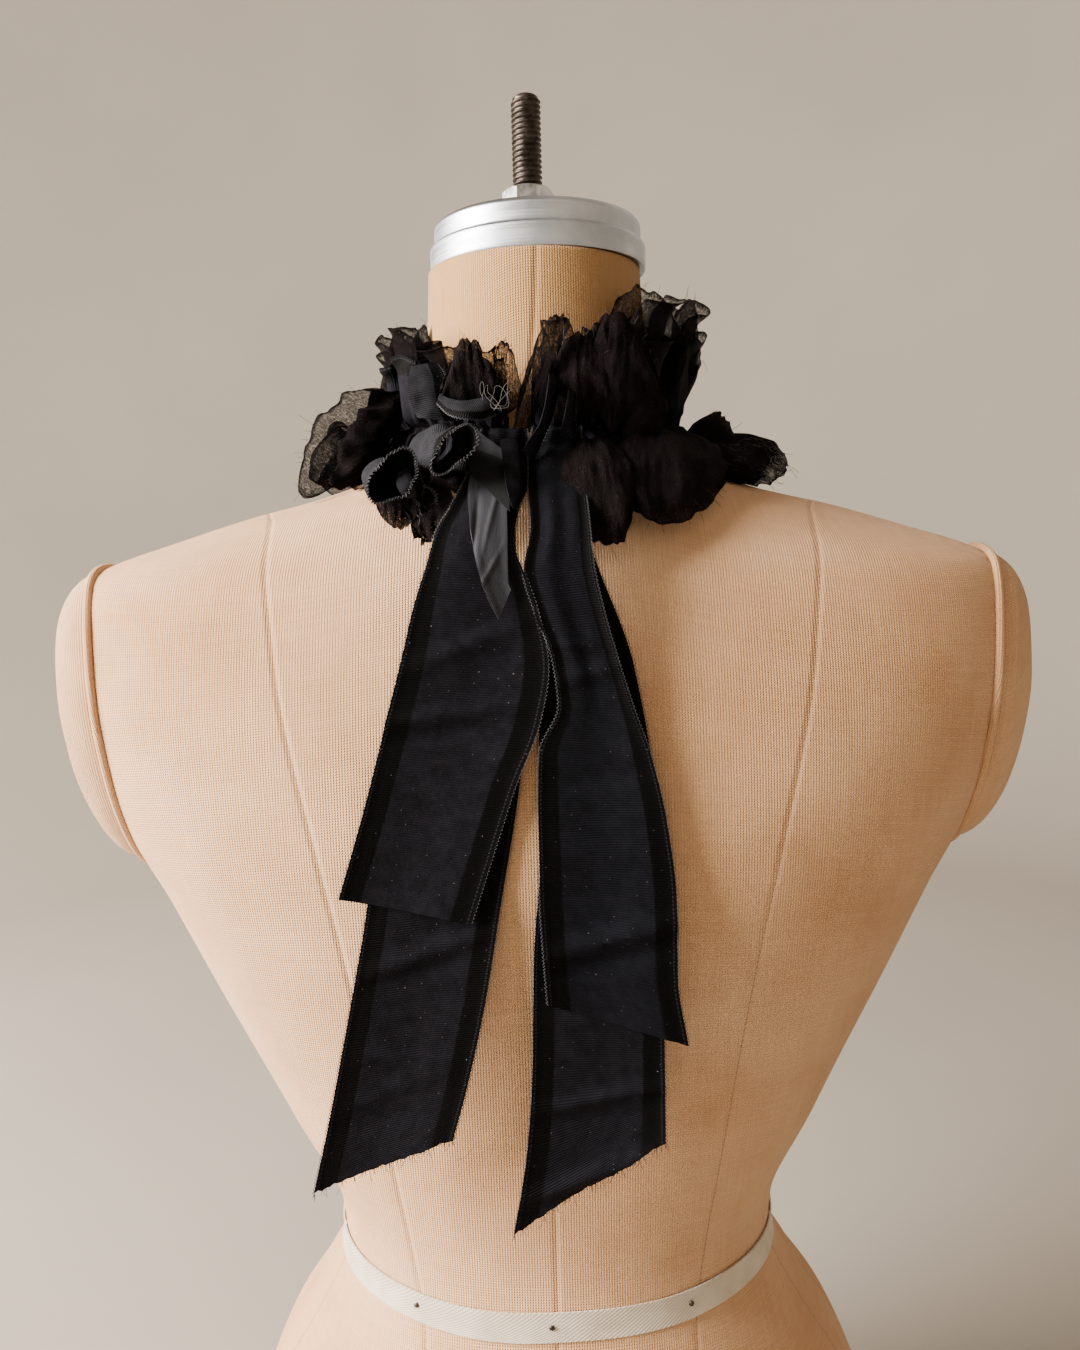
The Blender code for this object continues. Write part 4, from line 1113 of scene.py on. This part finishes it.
def tailGrid(rows, layer, folds):
    # layer counts up from the form, and folds is the number of soft waves across
    down, across = 150, 36
    places = np.linspace(0, 1, len(rows))
    share = np.linspace(0, 1, down)[:, None] ** tailLook["crowding"]
    leftX, leftZ, rightX, rightZ = [smoothCurve(places, column)(share) for column in zip(*rows)]
    over = np.linspace(0, 1, across)[None, :]
    x = leftX + (rightX - leftX) * over
    z = leftZ + (rightZ - leftZ) * over
    wave = tailLook["ripple"] * (np.cos(2 * math.pi * (folds * over + 0.6 * share)) - 1)
    slope = (hangY(z + 1) - hangY(z - 1)) / 2
    under = np.minimum(np.minimum(hangY(z), formBack(x, z) - tailLook["clear"]), collarBack(x))
    y = under - layer * tailLook["layerStep"] * np.hypot(1, slope) + wave
    return gridOf(x, y, z), share + 0 * over, over + 0 * share


def crease(grid, x, z, turn, length, width, depth):
    # a soft trough where depth is positive, or a ridge, centred at x and z and turned in degrees
    turn = math.radians(turn)
    dx, dz = grid[:, :, 0] - x, grid[:, :, 2] - z
    along = dx * math.cos(turn) + dz * math.sin(turn)
    aside = dz * math.cos(turn) - dx * math.sin(turn)
    grid[:, :, 1] += depth * np.exp(-(along / length) ** 2 - (aside / width) ** 2)


def buildTail(name, node, layer, folds, material, creases, fray, sewn=True):
    # sewn tails have pleats at the knot and looped edges
    look = tailLook
    grid, share, over = tailGrid(tails[node], layer, folds)
    wide = np.linalg.norm(grid[:, -1] - grid[:, 0], axis=1)[:, None]
    if sewn:
        slack = 1 - ramp(wide, 0.3 * wide.max(), 0.55 * wide.max())
        pleats = 1 + np.cos(2 * math.pi * look["pleats"] * over + 2 * share)
        grid[:, :, 1] -= look["pleatDepth"] * slack * pleats
    for values in creases:
        crease(grid, *values)
    edge = np.minimum(over, 1 - over) * wide
    grid[:, :, 1] -= look["edgeCurl"] * (1 - ramp(edge, 0, look["curlWidth"]))
    along = lengthAlong(grid, 0).mean(axis=1)[:, None] + 0 * over
    across = over * 2 * ribbonHalf
    ragged = noiseField(gridOf(across, 0, 0), look["raggedPeriod"], layer) * fray
    grid[:, :, 2] += ragged * ramp(share, 0.97, 1.0)
    uv = gridOf(across, along)
    piece = gridPiece(name, grid[::-1], material, node, uv[::-1], look["wall"])
    if sewn:
        addLoopedEdge(grid[:, 0], grid[:, 1])
        addLoopedEdge(grid[:, -1], grid[:, -2])
    if fray > look["frayFrom"]:
        down = np.broadcast_to((0.0, -0.2, -1.0), grid[-1].shape)
        addLooseEnds(grid[-1], down, look["frayEnds"], look["frayLengths"], layer + 5)
    return piece


# the creases of each tail: x, z, turn, length, width and depth
leftLower = buildTail("tailLeftLower", "tail_left_lower", 0, 1.1, ribbonMatt,
                      ((-48, 402, 18, 26, 3, -2.2), (-50, 395, 18, 24, 3, 0.8), (-66, 360, -8, 26, 3.5, -1.6),
                       (-62, 348, 22, 20, 3, -0.9), (-70, 335, 16, 30, 5, 0.8)), 1.2)
leftUpper = buildTail("tailLeftUpper", "tail_left_upper", 1, 1.0, ribbonMatt,
                      ((-30, 520, 20, 22, 3.5, -1.5), (-40, 494, 4, 26, 2.5, -2.0), (-44, 487, 8, 24, 3, 1.0),
                       (-38, 466, -20, 20, 3, -1.0), (-52, 446, -12, 30, 3.5, -1.3)), 0.3)
rightLower = buildTail("tailRightLower", "tail_right_lower", 0, 0.9, ribbonMatt,
                       ((20, 372, -8, 26, 3.5, -1.3), (18, 341, 9, 28, 2.6, -2.3), (18, 334, 9, 26, 3, 0.8),
                        (12, 308, 20, 26, 3.2, -2.8), (12, 301, 20, 24, 2.6, 0.8)), 1.2)
rightUpper = buildTail("tailRightUpper", "tail_right_upper", 1, 1.1, ribbonBlue,
                       ((10, 520, -6, 12, 1.6, -1.5), (14, 508, 14, 16, 3, -1.4), (20, 470, 6, 26, 5, 0.9),
                        (22, 440, -14, 22, 3, -1.1), (24, 407, 14, 34, 3.6, -3.0),
                        (24, 399, 14, 32, 3.6, 1.5)), 0.3)
liningTail = buildTail("liningTail", "lining_tail", 2, 0.5, lining,
                       ((-26, 556, 84, 20, 1.2, 1.3), (-18, 572, 76, 16, 1.0, -0.7),
                        (-20, 548, 60, 9, 1.0, -0.6)), 0.4, sewn=False)


# where the flap begins and ends down the lining, as shares of its length
flapLook = {"top": 0.24, "left": 0.40, "right": 0.56, "lift": 1.3, "spread": 1.5, "wall": 0.3}


def buildLiningFlap():
    # the lining's top is folded over, and the flap's lower edge slants down to the right
    look = flapLook
    grid, _, over = tailGrid(tails["lining_tail"], 2, 0.5)
    over = over[:1]
    low = look["left"] + (look["right"] - look["left"]) * over
    at = (look["top"] + (low - look["top"]) * np.linspace(0, 1, 24)[:, None]) * (len(grid) - 1)
    under = np.floor(at).astype(int)
    part = (at - under)[..., None]
    columns = np.arange(grid.shape[1])[None, :]
    flap = grid[under, columns] * (1 - part) + grid[np.minimum(under + 1, len(grid) - 1), columns] * part
    flap[:, :, 1] -= look["lift"]
    flap[:, :, 0] += look["spread"] * (over - 0.3)
    # the flap takes the darker copy of the lining, painted shade on the fold
    return gridPiece("liningFlap", flap[::-1], liningPaintedShade, wall=look["wall"])


flap = buildLiningFlap()
print("ribbon tails made")


# a tangle of pale thread at the left of the opening: its place, and seed and turns of each strand
tangleLook = {"across": 483.0, "step": 7, "down": 397.0, "y": -77.0,
              "strands": ((1, 1.3), (2, 0.9), (3, 1.6))}
# start, end and bend of each long loose end as (across, down, y)
longEnds = (
    ((770, 458, -10), (797, 479, -12), (788, 462, -12)), ((764, 448, -8), (781, 452, -8), (772, 440, -8)),
    ((735, 444, -12), (768, 444, -10), (750, 432, -12)), ((305, 492, -30), (294, 502, -30), (298, 494, -30)),
    ((312, 448, -24), (306, 436, -24), (306, 444, -24)), ((401, 340, 4), (386, 336, 4), (394, 332, 4)),
    ((392, 352, 4), (384, 362, 4), (385, 354, 4)), ((700, 360, 2), (707, 372, 2), (706, 362, 2)),
    ((418, 334, -2), (424, 326, -2), (420, 328, -2)), ((690, 500, -70), (701, 512, -70), (700, 502, -70)),
    ((470, 1150, -110), (456, 1160, -110), (466, 1160, -110)),
    ((664, 1140, -110), (668, 1152, -110), (670, 1146, -110)),
)


def buildThreads():
    look = tangleLook
    knots = []
    for seed, turns in look["strands"]:
        steps = np.linspace(0, 1, 60)
        turn = 2 * math.pi * turns * steps + seed * 2
        middle = look["across"] + look["step"] * seed
        across = middle + (11 - 5 * steps) * np.cos(turn) + 3 * np.sin(2.3 * turn)
        down = look["down"] + (14 - 4 * steps) * np.sin(turn * 1.15 + seed) + 2 * np.cos(3.1 * turn)
        deep = look["y"] + 2 * np.sin(9 * steps + seed)
        knots.append(np.array([seen(*place) for place in zip(across, down, deep)]))
    threadPiece("threadTangle", knots, edgeLook["looseThread"], paleThread)
    for corners in longEnds:
        start, end, bend = [seen(*corner) for corner in corners]
        t = np.linspace(0, 1, 14)[:, None]
        looseEnds.append((1 - t) ** 2 * start + 2 * t * (1 - t) * bend + t * t * end)
    threadPiece("looseThreads", looseEnds, edgeLook["looseThread"], blackThread)
    threadPiece("ribbonEdgeLoops", edgeLoops, edgeLook["thread"], edgeThreadLit)


buildThreads()
print("threads made")


studioLook = {
    "floorRadius": 1350.0, "bend": 600.0, "wallHigh": 3300.0, "air": "#f4efe8", "airStrength": 0.075,
    "aim": (0.0, 0.0, 0.5),
    # place and size in metres, power in watts and colour of each light
    "windowLight": ((-1.70, -0.42, 1.05), (1.2, 1.5), 310.0, "#fff4ea"),
    "roomLight": ((1.1, 1.0, 1.7), (1.2, 1.2), 2.0, "#fff3e6"),
}


def buildStudio():
    # a round floor that curves up into a round wall, so that it is the same from every side
    floor, bend, sides = studioLook["floorRadius"], studioLook["bend"], 96
    profile = [(1.0, 0.0), (floor / 2, 0.0)]
    for turn in np.linspace(0, math.pi / 2, 16):
        profile.append((floor + bend * math.sin(turn), bend * (1 - math.cos(turn))))
    profile.append((floor + bend, studioLook["wallHigh"]))
    backdrop = gridPlane("backdrop", turnedGrid(profile, (0.0, 0.0), sides))
    mendMesh(1e-5, sides, outward=False)
    bpy.ops.object.shade_smooth()
    backdrop.data.materials.append(wallPaint)


def areaLight(name):
    place, size, power, colour = studioLook[name]
    bpy.ops.object.light_add(type="AREA", location=place)
    light = bpy.context.object
    light.name = name
    light.data.shape = "RECTANGLE"
    light.data.size, light.data.size_y = size
    light.data.energy = power
    light.data.color = hexColour(colour)[:3]
    light.visible_camera = False
    light.rotation_euler = (Vector(studioLook["aim"]) - Vector(place)).to_track_quat("-Z", "Y").to_euler()


def buildCamera():
    look = cameraLook
    data = bpy.data.cameras.new("camera")
    data.sensor_width = 36.0
    data.lens = look["focal"] / look["frame"][1] * data.sensor_width
    data.clip_start = 0.02
    camera = bpy.data.objects.new("camera", data)
    bpy.context.scene.collection.objects.link(camera)
    camera.matrix_world = (Matrix.Translation(Vector(look["place"]) * mm)
                           @ Matrix.Rotation(math.radians(90 - look["tip"]), 4, "X")
                           @ Matrix.Rotation(math.radians(-look["roll"]), 4, "Z"))
    bpy.context.scene.camera = camera


def buildAir():
    world = bpy.data.worlds.new("roomAir")
    world.use_nodes = True
    air = world.node_tree.nodes["Background"].inputs
    air["Color"].default_value = hexColour(studioLook["air"])
    air["Strength"].default_value = studioLook["airStrength"]
    bpy.context.scene.world = world


buildStudio()
buildCamera()
areaLight("windowLight")
areaLight("roomLight")
buildAir()
print("studio made")
